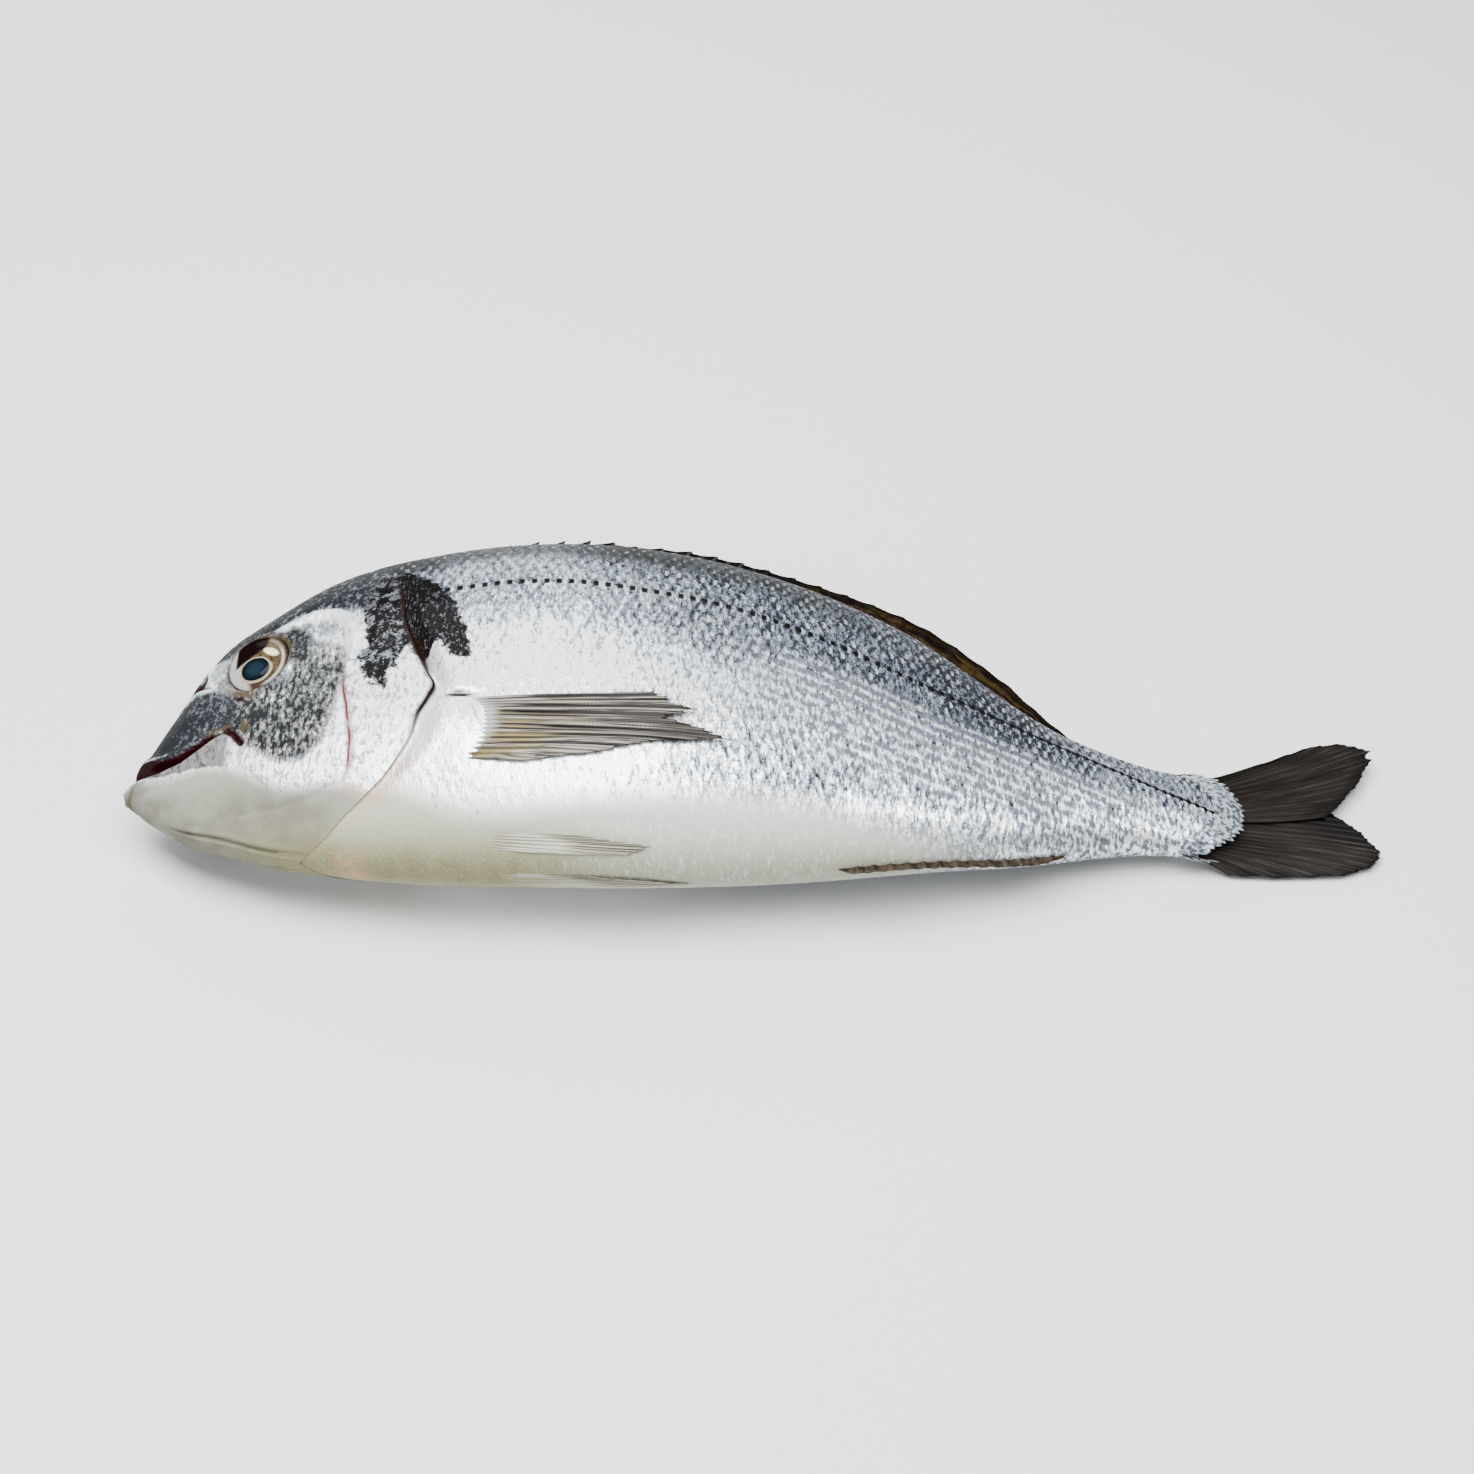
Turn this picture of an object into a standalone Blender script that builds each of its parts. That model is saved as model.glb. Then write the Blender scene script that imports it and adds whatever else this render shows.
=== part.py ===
"""Whole raw sea bream, lying on its right side with its fins folded.

+X runs from the snout to the tail, +Y from the belly to the back, and +Z up through the left flank.
The origin is on the surface that the fish lies on, under the middle of its length and depth.
"""
import math

import bmesh
import bpy
import numpy as np
from mathutils import Matrix, Vector

MM = 0.001

# Driving sizes: a portion fish of 300 mm from snout to tail tip
TOTAL_LENGTH = 300 * MM
BODY_LENGTH = 268 * MM
SNOUT_X = -TOTAL_LENGTH / 2 - 0.6 * MM
SHIFT_Y = -3.2 * MM

# The body seen from its side, in mm: (distance behind the snout, height of the line)
BACK_LINE = [(0, -17.5), (3, -14.8), (10, 1.5), (20, 20.8), (30, 30.9), (42, 40.6), (72, 50.4), (103, 53.7),
             (142, 47.5), (185, 28.1), (225, -1.5), (245, -7.6), (268, -8)]
BELLY_LINE = [(0, -23.5), (3, -26.8), (10, -33), (30, -42.6), (55, -49.3), (103, -53.4), (160, -51),
              (205, -42.6), (245, -32.8), (268, -34.4)]
# The body seen from above: half of its thickness, and how high the middle of that lies, head and tail drooping
HALF_THICKNESS = [(0, 1.5), (3, 4.8), (10, 8.8), (30, 16.2), (55, 21.6), (103, 23.9), (160, 20.4), (205, 13.2),
                  (245, 6.9), (260, 4.4), (268, 1)]
MIDDLE_HEIGHT = [(0, 15.5), (30, 18.6), (72, 22.2), (103, 22.9), (142, 22.2), (185, 19), (225, 12), (245, 8.6),
                 (268, 6)]

BODY_SIDES = 56
BODY_RINGS = 50
LEFT, RIGHT = 1, -1

# Lines cut into the skin of both sides, in mm: (distance behind the snout, height), each with its groove's radius
GILL_OPENING = [(65, 9), (68, 1), (72, -9), (74.5, -13), (72, -18), (69.5, -26), (65, -34), (58, -41.5), (50, -46)]
GILL_GROOVE = 1.3 * MM
COVER_FRONT = [(54, 14), (54, -6), (56, -22), (55, -33), (49, -39), (42, -41)]
COVER_THICKNESS = 1.8 * MM
COVER_LIFT = (-1.4 * MM, 0.3 * MM)
CHEEK_EDGE = [(51.5, 8), (52.5, -6), (54.5, -22), (54.5, -32), (49, -38), (40, -38.5)]
CHEEK_GROOVE = 0.7 * MM
MOUTH_LINE = [(25, -15.8), (19, -17.8), (12, -21.3), (6, -21.6), (0.3, -21)]
MOUTH_GROOVE = 1.5 * MM
NOSTRIL_PLACE = (15.5, 6.5)
NOSTRIL_RADIUS = 1.1 * MM

EYE_PLACE = (30.2, 4.2)
EYE_RADIUS = 7.6 * MM
EYE_BULGE = 3.4 * MM
EYE_SINK = 1.2 * MM

# Fins in mm: the line of their roots and the line of their tips, in the same side view
PECTORAL_ROOT = [(87, -18.5), (85.5, -24), (83.5, -33)]
PECTORAL_TIP = [(131, -17), (136, -19.5), (137, -21.5), (144, -27.5), (133, -29.5), (116, -34), (97, -36)]
PELVIC_ROOT = [(90, -47.6), (88.5, -50.6)]
PELVIC_TIP = [(118, -47.6), (132, -50.2), (124, -52)]
BLADE_THICKNESS = 1.6 * MM
BLADE_LIFT = 0.45 * MM
BLADE_LOWEST = 1.0 * MM

DORSAL_FROM, DORSAL_TO = 76 * MM, 228 * MM
DORSAL_HEIGHT = 6.2 * MM
DORSAL_SPINES = 11
DORSAL_COLUMNS = 44
ANAL_FROM, ANAL_TO = 168 * MM, 222 * MM
ANAL_HEIGHT = 3.8 * MM
ANAL_SPINES = 3
ANAL_COLUMNS = 18
CREST_THICKNESS = 1.8 * MM
CREST_ROOT = 2.4 * MM
NOTCH_SHARE = 0.2

# The tail fin's two lobes: roots, and tips from the outer edge round to the fork
UPPER_LOBE_ROOT = [(254, -9.5), (262, -12), (264, -23)]
UPPER_LOBE_TIP = [(262, -4.6), (267, -1.8), (279.5, 4.5), (285.5, 7.5), (292.5, 7.8), (299.6, 5), (299.8, 1),
                  (292.6, -11.2), (287, -17)]
LOWER_LOBE_ROOT = [(264, -17), (262, -28), (256, -32)]
LOWER_LOBE_TIP = [(288, -14.5), (294.9, -20.4), (298, -25.9), (298.2, -29.3), (294.8, -32.6), (288.3, -34.6),
                  (272, -34.7), (263, -34.2)]
LOBE_THICKNESS = 1.4 * MM
UPPER_LOBE_HEIGHT = (6.4 * MM, 3.6 * MM)
LOWER_LOBE_HEIGHT = (5.6 * MM, 1.8 * MM)
RAY_CRIMP = 0.22 * MM

SKIN_COLOUR = (0.62, 0.65, 0.67, 1)
SKIN_ROUGHNESS = 0.35
SKIN_METALLIC = 0.4


def curve_through(points):
    """A function of the distance behind the snout, in metres, that runs smoothly through points in mm."""
    places, values = np.array(points, float).T * MM
    slopes = np.gradient(values, places)

    def value(place):
        place = np.clip(place, places[0], places[-1])
        left = np.clip(np.searchsorted(places, place) - 1, 0, len(places) - 2)
        width = places[left + 1] - places[left]
        f = (place - places[left]) / width
        start = (1 + 2 * f) * (1 - f) ** 2 * values[left] + f * (1 - f) ** 2 * width * slopes[left]
        return start + f * f * (3 - 2 * f) * values[left + 1] + f * f * (f - 1) * width * slopes[left + 1]

    return value


back_at = curve_through(BACK_LINE)
belly_at = curve_through(BELLY_LINE)
half_at = curve_through(HALF_THICKNESS)
middle_at = curve_through(MIDDLE_HEIGHT)


def section_point(s, turn):
    """The body's skin at a distance behind the snout; turn is 0 at the back and a quarter on the left flank."""
    centre = (back_at(s) + belly_at(s)) / 2
    reach = (back_at(s) - belly_at(s)) / 2
    height = middle_at(s) + half_at(s) * math.sin(turn)
    return Vector((SNOUT_X + s, centre + reach * math.cos(turn) + SHIFT_Y, max(height, 0)))


def skin_point(s, y, side, lift=0.0):
    """The skin of one side at a place in the side view, moved out by lift."""
    centre = (back_at(s) + belly_at(s)) / 2
    reach = (back_at(s) - belly_at(s)) / 2
    turn = math.acos(max(-1.0, min(1.0, (y - centre) / reach)))
    outward = Vector((0, math.cos(turn) / reach, math.sin(turn) * side / half_at(s))).normalized()
    return section_point(s, turn * side) + outward * lift


def along(points, share):
    """The point at a share of the way along a smooth line through points in mm, as (s, y) in metres."""
    spots = np.array(points, float) * MM
    steps = np.r_[0, np.cumsum(np.linalg.norm(np.diff(spots, axis=0), axis=1))]
    place = share * steps[-1]
    left = min(max(int(np.searchsorted(steps, place)) - 1, 0), len(spots) - 2)
    f = (place - steps[left]) / (steps[left + 1] - steps[left])
    before, after = spots[max(left - 1, 0)], spots[min(left + 2, len(spots) - 1)]
    first, last = spots[left], spots[left + 1]
    slope = last - before
    bend = 2 * before - 5 * first + 4 * last - after
    twist = 3 * (first - last) + after - before
    spot = first + 0.5 * f * (slope + f * (bend + f * twist))
    return float(spot[0]), float(spot[1])


def new_object(name, mesh, collection):
    """Links a mesh as an object of that name."""
    made = bpy.data.objects.new(name, mesh)
    collection.objects.link(made)
    return made


def mesh_from(bm, name):
    """Turns a bmesh into a mesh with its faces pointing out."""
    bmesh.ops.recalc_face_normals(bm, faces=bm.faces)
    mesh = bpy.data.meshes.new(name)
    bm.to_mesh(mesh)
    bm.free()
    return mesh


def applied(made):
    """Replaces an object's data with its evaluated mesh, and drops its modifiers or its curve."""
    bpy.context.view_layer.update()
    graph = bpy.context.evaluated_depsgraph_get()
    mesh = bpy.data.meshes.new_from_object(made.evaluated_get(graph))
    bm = bmesh.new()
    bm.from_mesh(mesh)
    bmesh.ops.remove_doubles(bm, verts=bm.verts, dist=0.005 * MM)
    bm.to_mesh(mesh)
    bm.free()
    name, holder, place = made.name, made.users_collection[0], made.matrix_world.copy()
    bpy.data.objects.remove(made)
    made = new_object(name, mesh, holder)
    made.matrix_world = place
    return made


def make_body(collection):
    """The body from snout to tail root: a sphere whose rings are drawn out into the fish's sections."""
    bm = bmesh.new()
    bmesh.ops.create_uvsphere(bm, u_segments=BODY_SIDES, v_segments=BODY_RINGS, radius=1.0)
    for vert in bm.verts:
        polar = math.acos(max(-1.0, min(1.0, -vert.co.z)))
        crowded = (1 - math.cos(polar)) / 2
        s = BODY_LENGTH * (0.55 * polar / math.pi + 0.45 * crowded)
        tip = section_point(s, 0).lerp(section_point(s, math.pi), 0.5)
        tip.z = middle_at(s)
        on_pole = min(polar, math.pi - polar) < 1e-6
        vert.co = tip if on_pole else section_point(s, math.atan2(vert.co.y, vert.co.x))
    return new_object("body", mesh_from(bm, "body"), collection)


def make_eye(side, collection):
    """An eyeball set in the head: a flattened sphere that looks out along the skin's normal."""
    s, y = EYE_PLACE[0] * MM, EYE_PLACE[1] * MM
    spot = skin_point(s, y, side)
    outward = (skin_point(s, y, side, lift=MM) - spot).normalized()
    facing = outward.to_track_quat("Z", "Y").to_matrix().to_4x4()
    shape = Matrix.Diagonal((EYE_RADIUS, EYE_RADIUS, EYE_BULGE, 1))
    bm = bmesh.new()
    bmesh.ops.create_uvsphere(bm, u_segments=20, v_segments=10, radius=1.0)
    bmesh.ops.transform(bm, matrix=Matrix.Translation(spot - outward * EYE_SINK) @ facing @ shape, verts=bm.verts)
    return new_object(f"eye_{side}", mesh_from(bm, "eye"), collection)


def make_blade(name, rays, steps, place, thickness, collection):
    """A fin: a grid laid out by place(across, along), both from 0 to 1, and given its thickness."""
    bm = bmesh.new()
    bmesh.ops.create_grid(bm, x_segments=rays, y_segments=steps, size=1.0)
    for vert in bm.verts:
        vert.co = place((vert.co.x + 1) / 2, (vert.co.y + 1) / 2)
    blade = new_object(name, mesh_from(bm, name), collection)
    solidify = blade.modifiers.new("Thickness", "SOLIDIFY")
    solidify.thickness = thickness
    solidify.offset = 0
    return applied(blade)


def between(start, end, across, out):
    """The place in the side view at shares across two lines and out from the first to the second."""
    start_s, start_y = along(start, across)
    end_s, end_y = along(end, across)
    return start_s + (end_s - start_s) * out, start_y + (end_y - start_y) * out


def make_laid_fin(name, side, root, tip, rays, steps, collection):
    """A paired fin folded back flat against the skin."""
    def place(across, out):
        crimp = RAY_CRIMP * math.cos(across * rays * math.pi)
        spot = skin_point(*between(root, tip, across, out), side, BLADE_LIFT + crimp)
        spot.z = max(spot.z, BLADE_LOWEST)
        return spot

    return make_blade(name, rays, steps, place, BLADE_THICKNESS, collection)


def make_gill_cover(side, collection):
    """The gill cover: a plate that rises out of the cheek and ends as a step at the gill opening."""
    def place(across, out):
        lift = COVER_LIFT[0] + (COVER_LIFT[1] - COVER_LIFT[0]) * out
        spot = skin_point(*between(COVER_FRONT, GILL_OPENING, across, out), side, lift)
        spot.z = max(spot.z, BLADE_LOWEST)
        return spot

    return make_blade(f"cover_{side}", 16, 5, place, COVER_THICKNESS, collection)


def make_crest(name, start, end, height, line, way, spines, columns, collection):
    """A fin folded down along the back or the belly, its front part notched between its spines."""
    def place(across, out):
        s = start + (end - start) * across
        column = round(across * columns)
        swell = min(1.0, 9 * across, 7 * (1 - across)) ** 0.6
        notch = NOTCH_SHARE if column < 2 * spines and column % 2 == 0 else 0.0
        top = height * swell * (1 - notch)
        y = line(s) + way * (-CREST_ROOT + (CREST_ROOT + top) * out)
        return Vector((SNOUT_X + s + 0.5 * top * out, y + SHIFT_Y, middle_at(s)))

    return make_blade(name, columns, 3, place, CREST_THICKNESS, collection)


def make_lobe(name, root, tip, heights, rays, steps, collection):
    """One lobe of the tail fin, spread on the surface and crimped along its rays."""
    def place(across, out):
        s, y = between(root, tip, across, out)
        crimp = RAY_CRIMP * math.cos(across * rays * math.pi)
        height = heights[0] + (heights[1] - heights[0]) * out + crimp
        return Vector((SNOUT_X + s, y + SHIFT_Y, height))

    return make_blade(name, rays, steps, place, LOBE_THICKNESS, collection)


def make_groove(name, spots, radius, collection):
    """A cutter along a line on the skin: a tube whose middle follows the points."""
    curve = bpy.data.curves.new(name, "CURVE")
    curve.dimensions = "3D"
    curve.bevel_depth = radius
    curve.bevel_resolution = 2
    curve.use_fill_caps = True
    line = curve.splines.new("POLY")
    line.points.add(len(spots) - 1)
    for point, spot in zip(line.points, spots):
        point.co = (*spot, 1)
    cutter = applied(new_object(name, curve, collection))
    cutter.hide_render = True
    cutter.display_type = "WIRE"
    return cutter


def line_on_skin(line, side, count):
    """Points along a line of the side view, on the skin of one side."""
    return [skin_point(*along(line, k / (count - 1)), side) for k in range(count)]


def make_nostril(side, collection):
    """A cutter for one nostril, a short slit in front of the eye."""
    spot = skin_point(NOSTRIL_PLACE[0] * MM, NOSTRIL_PLACE[1] * MM, side)
    bm = bmesh.new()
    bmesh.ops.create_icosphere(bm, subdivisions=1, radius=NOSTRIL_RADIUS)
    bmesh.ops.scale(bm, vec=(1, 1.8, 1), verts=bm.verts)
    bmesh.ops.translate(bm, vec=spot, verts=bm.verts)
    cutter = new_object(f"nostril_{side}", mesh_from(bm, "nostril"), collection)
    cutter.hide_render = True
    cutter.display_type = "WIRE"


def combine(target, collection, operation):
    """Joins a collection to the target, or cuts it from the target, and removes the collection's objects."""
    modifier = target.modifiers.new(operation.title(), "BOOLEAN")
    modifier.operation = operation
    modifier.operand_type = "COLLECTION"
    modifier.collection = collection
    target = applied(target)
    for used in list(collection.objects):
        bpy.data.objects.remove(used)
    return target


def make_skin_material():
    """Wet silver skin."""
    skin = bpy.data.materials.new("silver_skin")
    skin.use_nodes = True
    shader = skin.node_tree.nodes["Principled BSDF"]
    shader.inputs["Base Color"].default_value = SKIN_COLOUR
    shader.inputs["Roughness"].default_value = SKIN_ROUGHNESS
    shader.inputs["Metallic"].default_value = SKIN_METALLIC
    return skin


def main():
    for old in list(bpy.data.objects):
        bpy.data.objects.remove(old)
    groups = {}
    for name in ("Sea bream", "Fins and eyes", "Cutters"):
        groups[name] = bpy.data.collections.new(name)
        bpy.context.scene.collection.children.link(groups[name])
    grown, cutters = groups["Fins and eyes"], groups["Cutters"]

    fish = make_body(groups["Sea bream"])
    for side in (LEFT, RIGHT):
        make_eye(side, grown)
        make_laid_fin(f"pectoral_{side}", side, PECTORAL_ROOT, PECTORAL_TIP, 10, 12, grown)
        make_laid_fin(f"pelvic_{side}", side, PELVIC_ROOT, PELVIC_TIP, 5, 9, grown)
        make_gill_cover(side, grown)
    make_crest("dorsal", DORSAL_FROM, DORSAL_TO, DORSAL_HEIGHT, back_at, 1, DORSAL_SPINES, DORSAL_COLUMNS, grown)
    make_crest("anal", ANAL_FROM, ANAL_TO, ANAL_HEIGHT, belly_at, -1, ANAL_SPINES, ANAL_COLUMNS, grown)
    make_lobe("upper_lobe", UPPER_LOBE_ROOT, UPPER_LOBE_TIP, UPPER_LOBE_HEIGHT, 14, 6, grown)
    make_lobe("lower_lobe", LOWER_LOBE_ROOT, LOWER_LOBE_TIP, LOWER_LOBE_HEIGHT, 14, 6, grown)
    fish = combine(fish, grown, "UNION")

    for side in (LEFT, RIGHT):
        make_groove(f"gill_{side}", line_on_skin(GILL_OPENING, side, 18), GILL_GROOVE, cutters)
        make_groove(f"cheek_{side}", line_on_skin(CHEEK_EDGE, side, 12), CHEEK_GROOVE, cutters)
        make_nostril(side, cutters)
    left_lip = line_on_skin(MOUTH_LINE, LEFT, 9)
    right_lip = line_on_skin(MOUTH_LINE, RIGHT, 9)
    make_groove("mouth", left_lip + right_lip[::-1], MOUTH_GROOVE, cutters)
    fish = combine(fish, cutters, "DIFFERENCE")

    fish.name = fish.data.name = "fish"
    fish.data.materials.clear()
    fish.data.materials.append(make_skin_material())
    fish.data.shade_smooth()
    for name in ("Fins and eyes", "Cutters"):
        bpy.data.collections.remove(groups[name])


main()
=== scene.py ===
import math

import bmesh
import bpy
import numpy as np
from mathutils import Matrix, Vector


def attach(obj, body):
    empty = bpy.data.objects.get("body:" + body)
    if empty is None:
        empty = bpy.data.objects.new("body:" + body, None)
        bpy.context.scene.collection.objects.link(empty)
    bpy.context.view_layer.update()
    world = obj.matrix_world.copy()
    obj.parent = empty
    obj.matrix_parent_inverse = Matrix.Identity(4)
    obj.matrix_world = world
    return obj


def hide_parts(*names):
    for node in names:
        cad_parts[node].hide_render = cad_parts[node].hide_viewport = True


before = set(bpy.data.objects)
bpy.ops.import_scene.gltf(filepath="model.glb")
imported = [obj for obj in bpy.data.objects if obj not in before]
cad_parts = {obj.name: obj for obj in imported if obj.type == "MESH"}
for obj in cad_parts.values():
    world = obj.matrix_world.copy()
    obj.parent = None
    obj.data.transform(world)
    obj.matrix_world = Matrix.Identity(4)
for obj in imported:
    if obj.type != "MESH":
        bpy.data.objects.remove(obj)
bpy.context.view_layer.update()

# Trunk: the scaled body from under the gill covers to the tail root. Firm flesh in a skin of small
# overlapping scales, dark slate on the back, silver on the flanks, bare white on the belly. It lies
# flat where it presses on the surface. All distances here are mm; s runs back from the snout.
MM = 0.001
SNOUT_X, SHIFT_Y = -150.6, -3.2
BACK_LINE = [(0, -17.5), (3, -14.8), (10, 1.5), (20, 20.8), (30, 30.9), (42, 40.6), (72, 50.4), (103, 53.7),
             (142, 47.5), (185, 28.1), (225, -1.5), (245, -7.6), (268, -8)]
BELLY_LINE = [(0, -23.5), (3, -26.8), (10, -33), (30, -42.6), (55, -49.3), (103, -53.4), (160, -51),
              (205, -42.6), (245, -32.8), (268, -34.4)]
HALF_THICKNESS = [(0, 1.5), (3, 4.8), (10, 8.8), (30, 16.2), (55, 21.6), (103, 23.9), (160, 20.4), (205, 13.2),
                  (245, 6.9), (260, 4.4), (268, 1)]
MIDDLE_HEIGHT = [(0, 15.5), (30, 18.6), (72, 22.2), (103, 22.9), (142, 22.2), (185, 19), (225, 12), (245, 8.6),
                 (268, 6)]
BODY_END = 268.0
LATERAL_LINE = [(40, 20.5), (64, 19), (78, 20.2), (90, 22), (105, 22.2), (123, 19.2), (144, 14.8), (165, 7.2),
                (184, -0.8), (212, -9.4), (240, -17.6), (262, -25), (275, -30)]
SCALE_LENGTH, SCALE_HEIGHT = 2.95, 3.5
SCALE_SIZE = [(40, 1.0), (110, 1.0), (160, 0.93), (205, 0.80), (262, 0.62)]
SCALE_REACH = (0.92, 0.78)
GILL_EDGE = [(0, 47), (18, 50), (36, 56), (52, 61.5), (66, 64.5), (79, 65.7), (87, 67.7), (94, 69.8), (101, 72.4),
             (105, 73.9), (109, 72.6), (114, 70.6), (121, 69.2), (128, 66.6), (135, 63.6), (143, 59), (152, 54),
             (162, 50), (172, 46), (180, 43.5)]


def curve_through(points):
    """A smooth curve through (place, value) points, held level beyond its ends."""
    places, values = np.array(points, float).T
    slopes = np.gradient(values, places)

    def value(place):
        place = np.clip(place, places[0], places[-1])
        left = np.clip(np.searchsorted(places, place) - 1, 0, len(places) - 2)
        width = places[left + 1] - places[left]
        f = (place - places[left]) / width
        start = (1 + 2 * f) * (1 - f) ** 2 * values[left] + f * (1 - f) ** 2 * width * slopes[left]
        return start + f * f * (3 - 2 * f) * values[left + 1] + f * f * (f - 1) * width * slopes[left + 1]

    return value


def fade(low, high, x):
    """0 up to low, 1 from high on, with a soft step between."""
    f = np.clip((x - low) / (high - low), 0, 1)
    return f * f * (3 - 2 * f)


def hump(x, middle, width):
    """A soft rise of 1 at the middle."""
    return np.exp(-((x - middle) / width) ** 2)


back_at, belly_at, half_at, middle_at = map(curve_through, (BACK_LINE, BELLY_LINE, HALF_THICKNESS, MIDDLE_HEIGHT))
lateral_at, gill_at = curve_through(LATERAL_LINE), curve_through(GILL_EDGE)


def section(s, t):
    """The bare body, not yet pressed flat: t turns from the back over the left flank, down and round."""
    centre, reach = (back_at(s) + belly_at(s)) / 2, (back_at(s) - belly_at(s)) / 2
    return np.stack([s + SNOUT_X, centre + reach * np.cos(t) + SHIFT_Y, middle_at(s) + half_at(s) * np.sin(t)], -1)


def outward(s, t):
    """The direction straight out of the bare body."""
    along = section(np.minimum(s + 0.5, BODY_END), t) - section(np.maximum(s - 0.5, 0), t)
    around = section(s, t + 0.01) - section(s, t - 0.01)
    way = np.cross(around, along)
    return way / np.maximum(np.linalg.norm(way, axis=-1, keepdims=True), 1e-9)


def turn_at(s, y, side=1):
    """The turn at which one side of the body has the height y in the side view."""
    centre, reach = (back_at(s) + belly_at(s)) / 2, (back_at(s) - belly_at(s)) / 2
    return side * np.arccos(np.clip((y - centre) / reach, -1, 1))


def on_skin(s, y, side=1, lift=0.0):
    """Points on one side of the body, lifted off it."""
    t = turn_at(s, y, side)
    return section(s, t) + outward(s, t) * np.asarray(lift)[..., None]


def mirror(t):
    """The same turn on the left flank: 0 at the back, pi at the belly."""
    return np.abs((t + math.pi) % (2 * math.pi) - math.pi)


def blob(s, y, spot, reach):
    """A soft rise of 1 at one spot of the side view."""
    return np.exp(-((s - spot[0]) / reach[0]) ** 2 - ((y - spot[1]) / reach[1]) ** 2)


def side_height(s, t):
    """The height y in the side view of a place on the body."""
    return (back_at(s) + belly_at(s)) / 2 + (back_at(s) - belly_at(s)) / 2 * np.cos(t)


def from_line(line, s, y):
    """For places in the side view: distance from a line, share along it, and which side of it they are on."""
    spots = np.array(line, float)
    steps = np.r_[0, np.cumsum(np.linalg.norm(np.diff(spots, axis=0), axis=1))]
    best = np.full(np.shape(s), 1e9)
    share, hand = np.zeros(np.shape(s)), np.zeros(np.shape(s))
    for (s0, y0), (s1, y1), begun in zip(spots[:-1], spots[1:], steps):
        run = math.hypot(s1 - s0, y1 - y0)
        f = np.clip(((s - s0) * (s1 - s0) + (y - y0) * (y1 - y0)) / run ** 2, 0, 1)
        away = np.hypot(s - s0 - f * (s1 - s0), y - y0 - f * (y1 - y0))
        near = away < best
        best = np.where(near, away, best)
        share = np.where(near, (begun + f * run) / steps[-1], share)
        hand = np.where(near, np.sign((s1 - s0) * (y - y0) - (y1 - y0) * (s - s0)), hand)
    return best, share, hand


def inside(outline, s, y):
    """Depth in mm inside an outline in the side view, negative outside it."""
    closed = list(outline) + [outline[0]]
    away = from_line(closed, s, y)[0]
    odd = np.zeros(np.shape(s), bool)
    for (s0, y0), (s1, y1) in zip(closed[:-1], closed[1:]):
        if y0 != y1:
            odd ^= ((y0 > y) != (y1 > y)) & (s < s0 + (y - y0) * (s1 - s0) / (y1 - y0))
    return np.where(odd, away, -away)


def lay_out(name, columns, rows, place):
    """A piece laid out from a grid: place turns its two shares into points in mm, UVs and fields."""
    bm = bmesh.new()
    bmesh.ops.create_grid(bm, x_segments=columns, y_segments=rows, size=0.5)
    mesh = bpy.data.meshes.new(name)
    bm.to_mesh(mesh)
    count = len(mesh.vertices)
    flat = np.empty(count * 3)
    mesh.vertices.foreach_get("co", flat)
    flat = flat.reshape(-1, 3)
    points, uv, fields = place(flat[:, 0] + 0.5, flat[:, 1] + 0.5)
    mesh.vertices.foreach_set("co", (points * MM).ravel())
    corners = np.empty(len(mesh.loops), int)
    mesh.loops.foreach_get("vertex_index", corners)
    mesh.uv_layers.new(name="laid").data.foreach_set("uv", np.stack(uv, -1)[corners].ravel())
    for field, values in fields.items():
        mesh.attributes.new(field, "FLOAT", "POINT").data.foreach_set("value", np.broadcast_to(values, count).copy())
    bm.free()
    bm = bmesh.new()
    bm.from_mesh(mesh)
    bmesh.ops.remove_doubles(bm, verts=bm.verts, dist=1e-6)
    bmesh.ops.recalc_face_normals(bm, faces=bm.faces)
    bm.to_mesh(mesh)
    bm.free()
    mesh.shade_smooth()
    piece = bpy.data.objects.new(name, mesh)
    bpy.context.scene.collection.objects.link(piece)
    return piece


size_at = curve_through(SCALE_SIZE)


def scale_count(s):
    """Scales counted along the body from the snout."""
    stations = np.linspace(0, BODY_END + 4, 545)
    step = stations[1] / (SCALE_LENGTH * size_at(stations))
    return np.interp(s, stations, np.cumsum(step) - step[0])


def scale_rows(s, t):
    """Scale rows counted from the lateral line: up is positive. Both sides are alike."""
    mirrored = mirror(t)
    stations, turns = np.linspace(0, BODY_END, 135), np.linspace(0, math.pi, 181)
    ring = section(*np.meshgrid(stations, turns, indexing="ij"))
    walked = np.concatenate([np.zeros((len(stations), 1)),
                             np.cumsum(np.linalg.norm(np.diff(ring, axis=1), axis=-1), axis=1)], axis=1)
    line = turn_at(stations, lateral_at(stations))
    at_line = np.array([np.interp(turn, turns, row) for turn, row in zip(line, walked)])
    rows = (at_line[:, None] - walked) / (SCALE_HEIGHT * size_at(stations))[:, None]
    i = np.clip(s / BODY_END * 134, 0, 133.999)
    j = np.clip(mirrored / math.pi * 180, 0, 179.999)
    i0, j0 = i.astype(int), j.astype(int)
    fi, fj = i - i0, j - j0
    near = rows[i0, j0] * (1 - fj) + rows[i0, j0 + 1] * fj
    return near * (1 - fi) + (rows[i0 + 1, j0] * (1 - fj) + rows[i0 + 1, j0 + 1] * fj) * fi


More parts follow.
